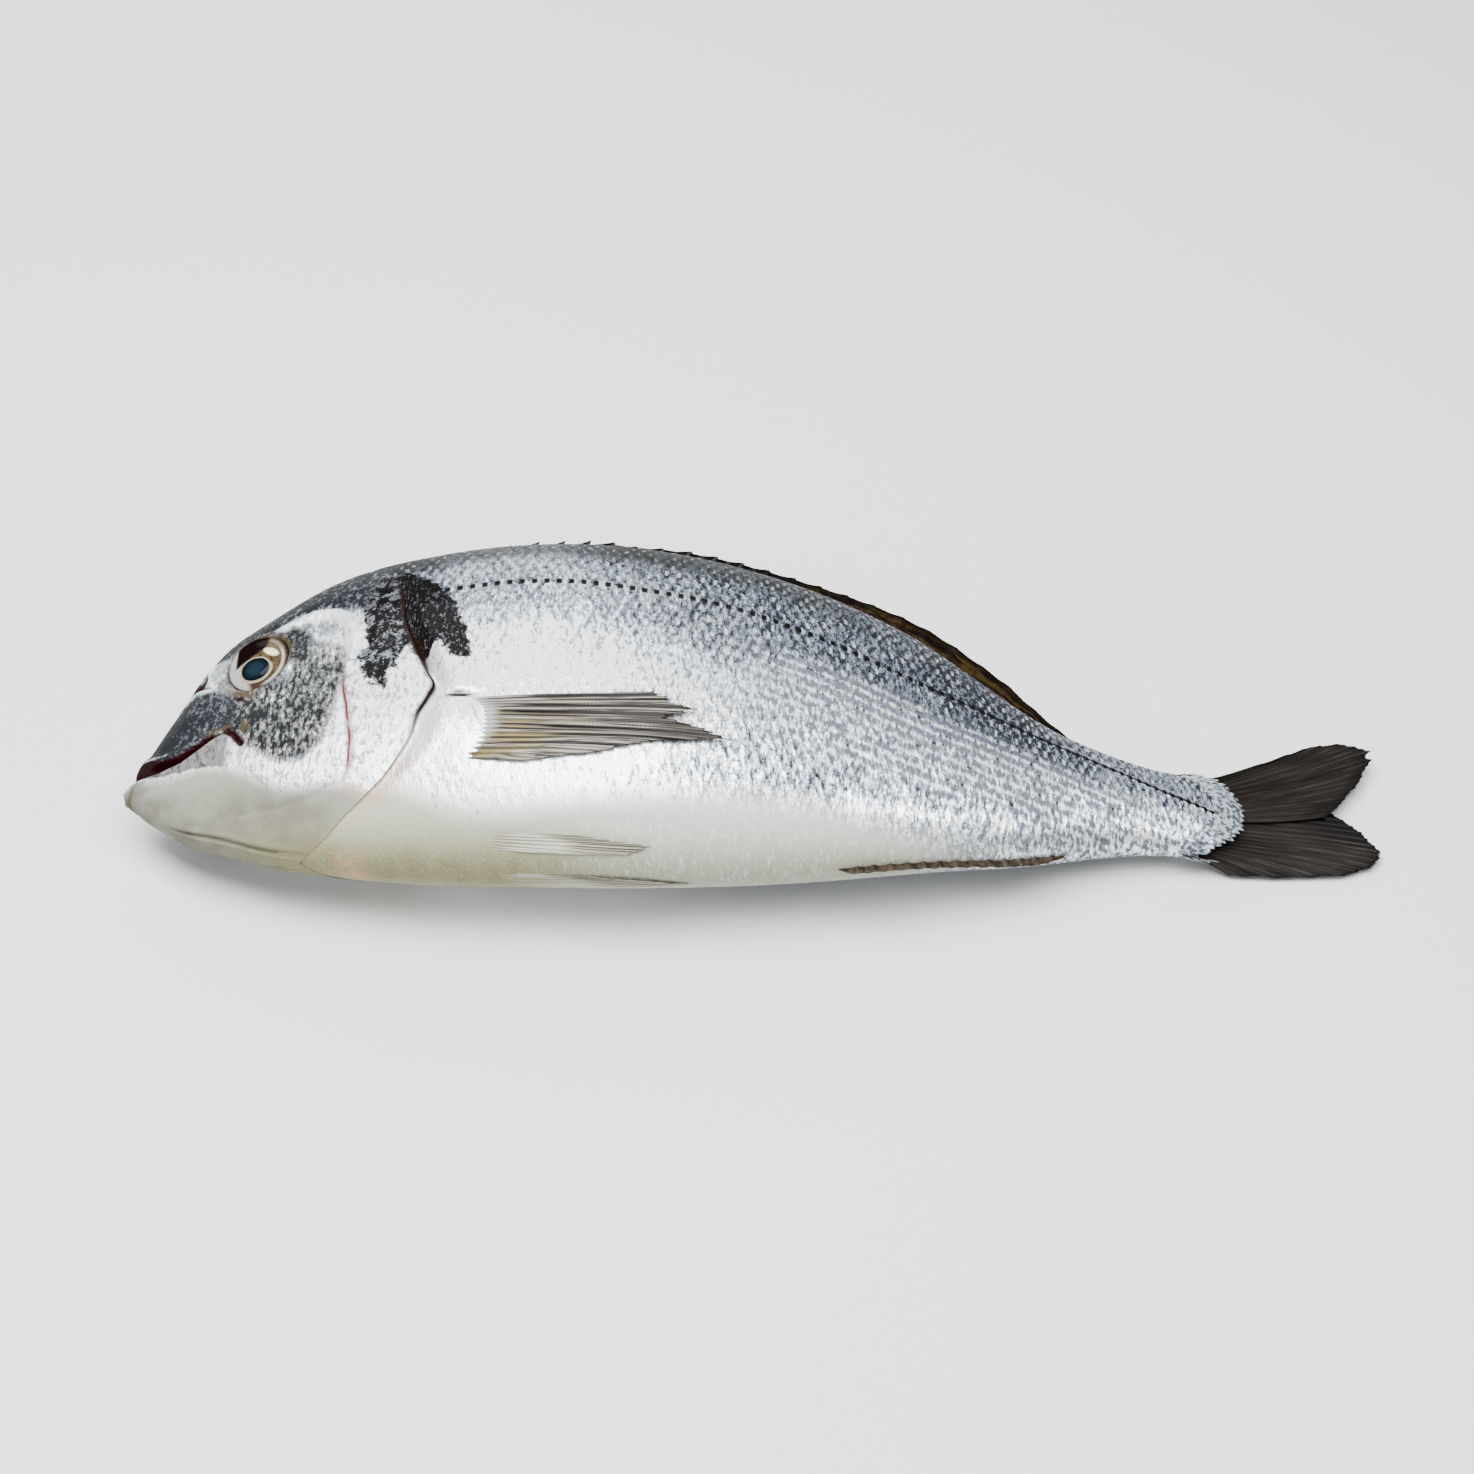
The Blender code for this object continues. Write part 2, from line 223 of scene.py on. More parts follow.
def scale_rise(u, v):
    """How far in front of its scale's rear rim a place is: 0 at the rim, towards 1 where the scale emerges."""
    best, rise = np.full(np.shape(u), 1e9), np.zeros(np.shape(u))
    for row in (np.floor(v), np.floor(v) + 1):
        reach = SCALE_REACH[0] * np.sqrt(np.maximum(0, 1 - ((v - row) * SCALE_REACH[1]) ** 2))
        shift = 0.5 * (row % 2)
        e = u - reach - shift
        middle = np.ceil(e) + shift
        front = middle < best
        rise = np.where(front, np.ceil(e) - e, rise)
        best = np.where(front, middle, best)
    return rise


TRUNK_COLUMNS, TRUNK_ROWS = 372, 250
TRUNK_CAP = 0.02
UNDER_COVER = 7  # how far the trunk runs on under the gill covers
BELLY_EDGE = [(30, -30), (62.7, -37), (83.8, -44), (104.3, -43), (136.3, -41), (159.3, -41), (173, -42.5), (200, -44),
              (268, -44)]
BLOTCH = [(55.0, 16.5), (57.1, 3.0), (55.2, -2.2), (55.7, -7.8), (59.2, -12.0), (62.5, -13.2), (64.6, -8.0), (67.2, -2.1),
          (69.0, -4.5), (71.5, -6.0), (74.7, 0.0), (77.2, -5.0), (80.5, -7.3), (82.9, -3.9), (80.3, 6.7), (77, 16.3),
          (71.8, 24.2), (64.6, 31.5), (57.9, 30.0)]
belly_edge_at = curve_through(BELLY_EDGE)


def body_end_at(t):
    """Where the scaled skin ends over the tail fin: rounded, furthest back at mid height."""
    return BODY_END - 4.2 - 11.0 * np.abs(np.cos(t)) ** 2.3


def place_trunk(a, b):
    t = 2 * math.pi * a + 0.2 * np.sin(4 * math.pi * a)
    mirrored = mirror(t)
    edge = gill_at(np.degrees(mirrored))
    start = edge - UNDER_COVER
    body = np.clip((b - TRUNK_CAP) / (1 - TRUNK_CAP), 0, 1)
    s = start + (body_end_at(t) - start) * body
    y = side_height(s, t)
    rows = scale_rows(s, t)
    scaled = fade(-1.5, 3.5, y - belly_edge_at(s)) * fade(0, 6, s - edge)
    behind = s - edge
    gap = 2.2 * hump(y, -3, 9) * (mirrored > 0.9) + 0.2
    recess = -(gap + 0.3) * (0.12 + 0.88 * fade(-44, -30, y)) * (1 - fade(0.4, 4.0 + 1.5 * hump(y, -3, 12), behind))
    girdle = 0.55 * hump(behind, 6.5, 2.6) * fade(30, 14, y) * fade(-46, -30, y)
    lobe = 1.3 * blob(s, y, (81, -26), (5.5, 8.5))
    notch = -1.1 * blob(s, y, (80.2, -17.0), (4.0, 1.0))
    ridge = 0.16 * hump(rows, 0, 0.35)
    count = scale_count(s)
    rise = scale_rise(count, rows)
    relief = recess + girdle + lobe + notch + ridge + 0.13 * scaled * (0.5 - rise)
    points = section(s, t) + outward(s, t) * relief[:, None]
    core = np.stack([np.full_like(s, 38 + SNOUT_X), np.full_like(s, -6.0), np.full_like(s, 19.0)], -1)
    shut = np.clip(b / TRUNK_CAP, 0, 1)[:, None]
    points = core + (points - core) * shut
    end_middle = np.array([BODY_END - 5 + SNOUT_X, (back_at(BODY_END) + belly_at(BODY_END)) / 2 + SHIFT_Y, 6.0])
    points[b > 1 - 1e-6] = end_middle
    points[:, 2] = np.maximum(points[:, 2], 0)

    line_turn = turn_at(s, lateral_at(s))
    above = np.clip(1 - mirrored / line_turn, 0, 1)
    below = np.clip((mirrored - line_turn) / (2.5 - line_turn), 0, 1)
    at_line = 0.53 + 0.22 * fade(110, 145, s) + 0.12 * fade(145, 160, s) + 0.10 * fade(187, 205, s)
    at_line = at_line - 0.42 * fade(206, 242, s)
    over = 0.38 + 0.38 * fade(95, 120, s) + 0.12 * fade(125, 155, s) + 0.06 * fade(175, 205, s)
    over = over - 0.32 * fade(203, 242, s)
    dark = np.where(above > 0, at_line + (over - at_line) * fade(0.0, 0.25, above), at_line)
    spread_down = 0.30 + 0.30 * fade(95, 150, s) + 0.22 * fade(150, 200, s)
    dark = dark * (1 - 0.93 * fade(0.22, 1.0, below / spread_down))
    least = 0.44 * fade(112, 158, s) + 0.08 * fade(175, 215, s) - 0.16 * fade(212, 245, s)
    dark = np.maximum(dark, least * fade(1.15, 0.85, below))
    dark = dark - 0.20 * fade(0.22, 0.55, below) * fade(135, 100, s)
    # Mid to rear flank: a lighter band along the middle of the lower flank is a painted highlight, and the flank below
    # it is darker.
    dark = dark + fade(120, 142, s) * (0.09 * fade(0.6, 0.8, below) - 0.12 * hump(below, 0.5, 0.16) * fade(165, 145, s))
    dark = dark + 0.05 * fade(180, 200, s) * fade(0.6, 0.1, below)
    dark = dark + 0.45 * fade(84, 62, s) * fade(16, 27, y) * (above > 0) - 0.10 * hump(above, 0.1, 0.1) * fade(132, 100, s)
    blotch = np.clip(0.5 + inside(BLOTCH, s, y) / 4.5, 0, 1) - 0.15 * fade(4, -8, y)
    stripes = fade(135, 165, s) * fade(-13.5, -9.5, rows) * fade(-1.5, -4.5, rows)
    belly = 1 - fade(-5, 4, y - belly_edge_at(s))
    # Olive towards the underside: painted shade.
    low = fade(146, 176, np.degrees(mirrored)) * fade(235, 190, s) * (1 - 0.4 * fade(90, 130, s))
    rear = fade(165, 215, s)
    wedge = hump(y, -1, 7.5)
    # Dark brown on the skin just behind the gill cover's edge, widest in the middle: painted shade in the gill slit.
    slit_shade = (1 - fade(1.4 * wedge, 0.5 + 3.0 * wedge, behind)) * fade(-1.0, 0.2, behind) * fade(-40, -22, y)
    comb = 0.28 + 0.72 * hump(s, 222, 17) * fade(0.9, 0.5, below) * (below > 0)
    far = fade(160, 190, s)
    crown = fade(0.13 - 0.11 * far, 0.33 - 0.07 * far, above) * fade(42, 56, s) * (1 - 0.9 * fade(120, 215, s))
    flush = fade(7, 1, behind) * hump(y, -37, 5) + 0.8 * blob(s, y, (56, -49), (4, 1.2))
    fields = {"dark": dark, "blotch": blotch, "stripes": stripes, "comb": comb, "crown": crown, "flush": flush, "rear": rear, "belly": belly, "low": low, "scaled": scaled,
              "slit_shade": slit_shade, "front": fade(125, 85, s), "notch_shade": fade(0.25, 0.8, -notch)}
    return points, (count, rows), fields


trunk = lay_out("trunk", TRUNK_COLUMNS, TRUNK_ROWS, place_trunk)


class Wiring:
    """A material's nodes, laid down one after the other."""

    def __init__(self, name):
        self.material = bpy.data.materials.new(name)
        self.material.use_nodes = True
        self.tree = self.material.node_tree
        self.shader = self.tree.nodes["Principled BSDF"]

    def node(self, kind, **settings):
        made = self.tree.nodes.new(kind)
        for key, value in settings.items():
            setattr(made, key, value)
        return made

    def feed(self, socket, value):
        if isinstance(value, bpy.types.NodeSocket):
            self.tree.links.new(value, socket)
        else:
            socket.default_value = value

    def sum(self, operation, *values, clamp=False):
        """A Math node."""
        made = self.node("ShaderNodeMath", operation=operation, use_clamp=clamp)
        for socket, value in zip(made.inputs, values):
            self.feed(socket, value)
        return made.outputs[0]

    def fade(self, low, high, x):
        made = self.node("ShaderNodeMapRange", interpolation_type="SMOOTHSTEP")
        for socket, value in zip(made.inputs, (x, low, high, 0.0, 1.0)):
            self.feed(socket, value)
        return made.outputs[0]

    def mix(self, share, first, second, blend="MIX"):
        """A colour mixed from two."""
        made = self.node("ShaderNodeMix", data_type="RGBA", blend_type=blend)
        for socket, value in ((made.inputs[0], share), (made.inputs[6], first), (made.inputs[7], second)):
            self.feed(socket, value if isinstance(value, (bpy.types.NodeSocket, float, int)) else (*value, 1))
        return made.outputs[2]

    def field(self, name):
        return self.node("ShaderNodeAttribute", attribute_name=name).outputs["Fac"]

    def place(self, stretch=(1, 1, 1), turn=(0, 0, 0)):
        """Object coordinates, turned and stretched."""
        mapping = self.node("ShaderNodeMapping")
        mapping.inputs["Rotation"].default_value = turn
        mapping.inputs["Scale"].default_value = stretch
        self.feed(mapping.inputs["Vector"], self.node("ShaderNodeTexCoord").outputs["Object"])
        return mapping.outputs[0]

    def noise(self, where, fineness, detail=3.0, roughness=0.55, twist=0.0):
        made = self.node("ShaderNodeTexNoise")
        for key, value in (("Vector", where), ("Scale", fineness), ("Detail", detail), ("Roughness", roughness),
                           ("Distortion", twist)):
            self.feed(made.inputs[key], value)
        return made.outputs["Fac"]

    def bump(self, height, depth, under=None):
        made = self.node("ShaderNodeBump")
        made.inputs["Distance"].default_value = depth
        self.feed(made.inputs["Height"], height)
        if under is not None:
            self.feed(made.inputs["Normal"], under)
        return made.outputs[0]

    def finish(self, piece, colour, roughness, normal=None, metallic=0.0, **uniform):
        """Wires the shader up and gives the material to the piece."""
        self.feed(self.shader.inputs["Base Color"], colour)
        self.feed(self.shader.inputs["Roughness"], roughness)
        self.feed(self.shader.inputs["Metallic"], metallic)
        if normal is not None:
            self.feed(self.shader.inputs["Normal"], normal)
        for key, value in uniform.items():
            self.shader.inputs[key.replace("_", " ")].default_value = value
        piece.data.materials.append(self.material)


def scale_pattern(w, u, v):
    """Nodes that draw overlapping scales: rise in front of the rear rim, a random value each, and row position."""
    best, rise, seed, off_row = None, None, None, None
    floor = w.sum("FLOOR", v)
    for step in (0.0, 1.0):
        row = w.sum("ADD", floor, step)
        across = w.sum("SUBTRACT", v, row)
        squared = w.sum("POWER", w.sum("ABSOLUTE", w.sum("MULTIPLY", across, SCALE_REACH[1])), 2.0)
        reach = w.sum("MULTIPLY", w.sum("SQRT", w.sum("MAXIMUM", w.sum("SUBTRACT", 1.0, squared), 0.0)),
                      SCALE_REACH[0])
        shift = w.sum("MULTIPLY", w.sum("FLOORED_MODULO", row, 2.0), 0.5)
        e = w.sum("SUBTRACT", w.sum("SUBTRACT", u, reach), shift)
        top = w.sum("CEIL", e)
        middle = w.sum("ADD", top, shift)
        here = w.sum("SUBTRACT", top, e)
        number = w.sum("ADD", w.sum("MULTIPLY", middle, 2.0), w.sum("MULTIPLY", row, 977.0))
        if best is None:
            best, rise, seed, off_row = middle, here, number, across
            continue
        front = w.sum("LESS_THAN", middle, best)

        def choose(first, second):
            return w.sum("ADD", w.sum("MULTIPLY", first, w.sum("SUBTRACT", 1.0, front)),
                         w.sum("MULTIPLY", second, front))

        rise, seed, off_row = choose(rise, here), choose(seed, number), choose(off_row, across)
    white = w.node("ShaderNodeTexWhiteNoise", noise_dimensions="1D")
    w.feed(white.inputs["W"], seed)
    return rise, white.outputs["Value"], off_row


SILVER, GREY, PALE_SLATE, SLATE = (0.88, 0.90, 0.91), (0.31, 0.345, 0.385), (0.100, 0.118, 0.146), (0.013, 0.0155, 0.020)
INK, BELLY_WHITE, UNDERSIDE_SHADE_OLIVE = (0.0045, 0.004, 0.004), (0.37, 0.37, 0.285), (0.19, 0.185, 0.095)
GILL_SLIT_SHADE_BROWN, FLUSH = (0.012, 0.0055, 0.004), (0.50, 0.30, 0.18)
CROWN_DARK = (0.013, 0.012, 0.0095)


def skin_tone(w, tone):
    """Silver through grey and slate to near black, as the tone rises from 0 to 1."""
    colour = w.mix(w.fade(-0.02, 0.30, tone), SILVER, GREY)
    colour = w.mix(w.fade(0.28, 0.66, tone), colour, PALE_SLATE)
    return w.mix(w.fade(0.62, 1.0, tone), colour, SLATE)


def swing(w, value, amount, onto):
    """Adds a value's swing about a half to another value."""
    return w.sum("MULTIPLY_ADD", w.sum("SUBTRACT", value, 0.5), amount, onto)


w = Wiring("scaled_skin")
uv = w.node("ShaderNodeSeparateXYZ")
w.feed(uv.inputs[0], w.node("ShaderNodeUVMap", uv_map="laid").outputs[0])
wobble = w.noise(w.place(), 240.0, 3.0)
u, v = swing(w, wobble, 0.7, uv.outputs["X"]), swing(w, wobble, 0.3, uv.outputs["Y"])
rise, chance, off_row = scale_pattern(w, u, v)
dark, scaled = w.field("dark"), w.field("scaled")
mottle = w.noise(w.place((1.4, 1, 1)), 110.0, 4.0, 0.65)
ticks = w.noise(w.place((2.1, 0.75, 0.75)), 580.0, 3.0, 0.62)
fine = w.noise(w.place((1.4, 1.0, 1.0)), 1500.0, 2.0, 0.6)
tone = swing(w, ticks, 2.3, dark)
tone = swing(w, fine, 1.3, tone)
tone = swing(w, mottle, 0.55, tone)
tone = swing(w, chance, 0.26, tone)
# Each scale darkens towards where it dips under the scale in front, with a thin dark line at its rims: partly the
# scales' own dark pigment, partly painted shadow cast by the rims.
tone = swing(w, rise, 0.30, tone)
edge = w.sum("MAXIMUM", w.fade(0.16, 0.02, rise), w.fade(0.86, 1.0, rise))
tone = w.sum("MULTIPLY_ADD", w.sum("MULTIPLY", edge, w.field("comb")), 0.55, tone)
colour = skin_tone(w, tone)
# White dashes at the rear rim of some scales: painted glints, where the rims catch the light.
rim_glint = w.sum("MULTIPLY", w.fade(0.36, 0.14, rise), w.fade(0.46, 0.26, w.sum("ABSOLUTE", off_row)))
sparkle = w.sum("MULTIPLY_ADD", chance, 0.35, w.sum("MULTIPLY_ADD", fine, 0.5, w.sum("MULTIPLY", ticks, 0.6)))
rim_glint = w.sum("MULTIPLY", w.sum("MULTIPLY", rim_glint, w.fade(0.68, 0.84, sparkle)), w.sum("MULTIPLY_ADD", dark, -0.35, 0.68))
colour = w.mix(rim_glint, colour, SILVER)
crown = w.sum("MULTIPLY", w.field("crown"), w.sum("MULTIPLY_ADD", w.fade(0.64, 0.46, swing(w, fine, 0.8, ticks)), 0.62, 0.32))
colour = w.mix(crown, colour, CROWN_DARK)
between_rows = w.fade(0.22, 0.42, w.sum("ABSOLUTE", w.sum("SUBTRACT", w.sum("FRACT", v), 0.5)))
stripe = w.sum("MULTIPLY", w.sum("SUBTRACT", 1.0, between_rows), w.field("stripes"))
colour = w.mix(w.sum("MULTIPLY", stripe, w.fade(0.40, 0.60, ticks)), colour, PALE_SLATE)
row_shine = w.sum("MULTIPLY", w.sum("MULTIPLY", between_rows, w.field("stripes")), w.fade(0.62, 0.40, ticks))
colour = w.mix(w.sum("MULTIPLY", row_shine, 0.6), colour, SILVER)
belly_pale = w.mix(w.field("front"), (0.45, 0.46, 0.42), BELLY_WHITE)
# The belly turns olive towards the underside: painted shade, uneven with the mottling.
belly_tint = w.mix(w.sum("MULTIPLY", w.field("low"), w.sum("MULTIPLY_ADD", mottle, 0.7, 0.6), clamp=True), belly_pale, UNDERSIDE_SHADE_OLIVE)
glint = w.sum("MULTIPLY_ADD", w.sum("MULTIPLY", w.fade(0.52, 0.68, ticks), w.sum("SUBTRACT", 1.0, w.field("front"))), 0.22,
              w.sum("MULTIPLY", w.fade(0.50, 0.75, fine), 0.12))
belly_tint = w.mix(glint, belly_tint, SILVER)
colour = w.mix(w.field("belly"), colour, belly_tint)
colour = w.mix(w.sum("MULTIPLY", w.field("flush"), w.fade(0.35, 0.6, mottle)), colour, FLUSH)
ragged = swing(w, w.noise(w.place(), 330.0, 5.0, 0.65), 1.7, w.field("blotch"))
flecks = w.fade(0.72, 0.55, swing(w, fine, 0.7, ticks))
colour = w.mix(w.sum("MULTIPLY", w.fade(0.42, 0.60, ragged), 0.86), colour, (0.060, 0.064, 0.072))
colour = w.mix(w.sum("MULTIPLY", w.fade(0.46, 0.66, ragged), flecks), colour, INK)
dotted = w.sum("MULTIPLY", w.fade(0.36, 0.24, swing(w, fine, 0.3, w.sum("ABSOLUTE", uv.outputs["Y"]))),
               w.fade(0.29, 0.18, w.sum("ABSOLUTE", w.sum("SUBTRACT", w.sum("FRACT", uv.outputs["X"]), 0.5))))
threaded = w.sum("MULTIPLY", w.fade(0.24, 0.10, w.sum("ABSOLUTE", uv.outputs["Y"])), w.sum("MULTIPLY_ADD", w.field("rear"), 0.80, 0.12))
line = w.sum("MULTIPLY", w.sum("MAXIMUM", dotted, threaded), w.sum("GREATER_THAN", scaled, 0.6))
colour = w.mix(line, colour, INK)
# Painted shade in the gill slit.
colour = w.mix(w.field("slit_shade"), colour, GILL_SLIT_SHADE_BROWN)
# Near black in the notch above the breast fin root: painted shade in the recess.
colour = w.mix(w.field("notch_shade"), colour, INK)
height = w.sum("MULTIPLY", w.sum("SUBTRACT", w.sum("MULTIPLY", chance, 0.5), rise), scaled)
normal = w.bump(height, 0.00042)
normal = w.bump(ticks, 0.00020, normal)
roughness = w.sum("MULTIPLY_ADD", w.field("belly"), 0.16, w.sum("MULTIPLY_ADD", chance, 0.12, 0.24))
roughness = w.sum("MULTIPLY_ADD", w.fade(0.25, 0.8, dark), 0.18, roughness)
metallic = w.sum("MULTIPLY", w.sum("SUBTRACT", 1.0, w.sum("MAXIMUM", w.field("belly"), w.field("crown"))), w.fade(1.0, 0.2, tone))
metallic = w.sum("MULTIPLY", metallic, w.fade(0.6, 0.4, ragged))
w.finish(trunk, colour, roughness, normal, w.sum("MULTIPLY", metallic, 0.55), Coat_Weight=0.10, Coat_Roughness=0.15,
         Specular_IOR_Level=0.0)
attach(trunk, "root")
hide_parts("fish")

# Head: smooth skin over bone from the snout to the free edge of the gill covers. The mouth is a shallow
# cleft between firm lips, dark maroon inside with painted shade, a thin red line marks the rear of each
# cheek plate, and the cover ends in a rounded edge, one millimetre thick, over the gill opening.
HEAD_COLUMNS, HEAD_ROWS = 336, 280
HEAD_CAP, HEAD_EDGE, HEAD_TUCK = 0.02, 0.955, 0.985
EYE_SPOT, EYE_RADIUS = (30.2, 4.6), 7.7
EYE_FACING = (-0.36, -0.16, 0.92)
MOUTH_GAP = [(-3, -16.0), (2.5, -16.2), (8.8, -19.2), (13.4, -19.8), (16.9, -18.2), (20.3, -16.5), (24, -16.5),
             (21, -17.9), (17.6, -20.0), (14.2, -21.8), (9.2, -22.4), (5.6, -22.4), (2, -21.8), (-3, -21.4)]
LOWER_LIP = [(-2, -25.0), (2.5, -25.3), (6.9, -25.7), (11.5, -25.7), (16.1, -25.5), (19.3, -24.2), (22.2, -22.3),
             (24.5, -19.7), (26.1, -18.4)]
MOUTH_CORNER = [(24.4, -15.8), (26.2, -17.4), (28.4, -20.6)]
NOSTRIL = [(13.6, 4.9), (15.1, 7.6), (16.3, 10.3), (17.2, 10.0), (17.7, 5.6), (16.8, 2.9), (14.8, 2.2)]
NOSTRIL_LIP = [(11.4, -1.6), (13.2, 0.9), (15.6, 1.6), (18.6, 0.7)]
FRONT_NOSTRIL = [(10.8, -0.6), (12.8, 3.7), (14.2, 6.0)]
NOSE_BONE = [(16.9, 11.0), (18.0, 11.8), (20.7, 10.4), (22.3, 7.0), (21.5, 3.5), (19.3, 3.4), (17.8, 7)]
EYE_FOLD = [(21.1, 2.1), (22.4, -1.2), (24.9, -3.6), (29.7, -5.9)]
SNOUT_DARK = [(-3, -18.5), (2, -18.5), (6, -20.5), (10.2, -20.8), (12.8, -21.3), (15.3, -20.8), (17.6, -19.2), (20.3, -17.2),
              (23.6, -15.6), (27, -17.0), (31.8, -18.5), (35.8, -13.6), (31.0, -8.4), (25.5, -4.4), (19.9, -0.6),
              (17.5, 3), (15, 9), (12, 40), (-3, 40)]
NAPE_DARK = [(8, 0), (13, 6), (17.2, 12.4), (20.7, 11.4), (22.6, 9.6), (25, 12.6), (29.3, 13.6), (34.0, 15.6), (39.5, 20.4), (45.2, 20.6),
             (50, 18.4), (55.4, 15.0), (62, 14), (80, 12), (80, 70), (0, 70), (0, 10)]
CHEEK = [(25.5, -4.0), (32.6, -5.0), (38.9, -2.5), (39.8, 6.4), (44.1, 7.0), (51.0, 3.5), (52.1, -6.8), (49.8, -15.2),
         (48.7, -20.8), (46.6, -25.7), (43.5, -28.1), (38.5, -28.0), (33.3, -24.2), (29.1, -20.1), (26.2, -16.7)]
BONE_RIDGE = [(34.0, 15.6), (37.5, 17.6), (42.9, 20.2), (48.5, 18.8), (51.4, 15.6), (54.8, 11.0), (56.5, 5.5),
              (55.6, -1.6), (53.0, 1.0), (51.9, 7.0), (50.0, 12.5), (47.1, 15.4), (43.5, 16.0), (40.5, 15.4), (36, 14.2)]
CHEEK_REAR = [(50.4, 11), (51.5, 2), (51.9, -6.8), (52.5, -12.0), (53.4, -16.0), (54.0, -20.7), (54.8, -25.3),
              (54.8, -32.0)]
CHEEK_LOW = [(54.8, -32.0), (53.4, -34.9), (51.1, -36.7), (47.7, -37.8), (43.9, -38.3), (38, -38.6), (30, -38)]
CHEEK_SCALES = [(49.6, 2), (49.8, -15.2), (48.7, -20.8), (46.6, -25.7), (43.5, -28.1), (38.5, -28.0)]
FLUSH_PATCH = [(54.6, -31.3), (58.8, -35.8), (62, -38.5), (58, -43), (53.6, -40.2), (50.8, -39.6), (54.0, -35.9)]
CREAM_EDGE = [(0, -21.0), (9, -23.8), (20, -24.6), (27, -27), (34, -31.5), (40, -34.5), (48, -35.5), (54, -37),
              (60, -40), (75, -45)]
MOUTH_TOP = [(-3, -16.0), (3, -16.2), (8.8, -19.0), (13.4, -19.6), (16.9, -18.2), (20.3, -16.6), (25, -15.8)]
LIP_SHINE = [(4.6, -16.6), (5.4, -17.0), (7.9, -17.7), (10.0, -17.8)]
LIP_CORNER, CHIN_NICK = [(20.5, -16.0), (23.0, -15.2), (24.8, -14.8)], [(0.4, -24.4), (3.6, -22.9)]
cream_edge_at, mouth_top_at = curve_through(CREAM_EDGE), curve_through(MOUTH_TOP)


def toward_mirror(way, side):
    """The same direction on the left or the right side."""
    return np.array([way[0], way[1], way[2] * side]) / np.linalg.norm(way)


eye_places = {side: (on_skin(np.array([EYE_SPOT[0]]), np.array([EYE_SPOT[1]]), side)[0],
                     toward_mirror(EYE_FACING, side)) for side in (1, -1)}


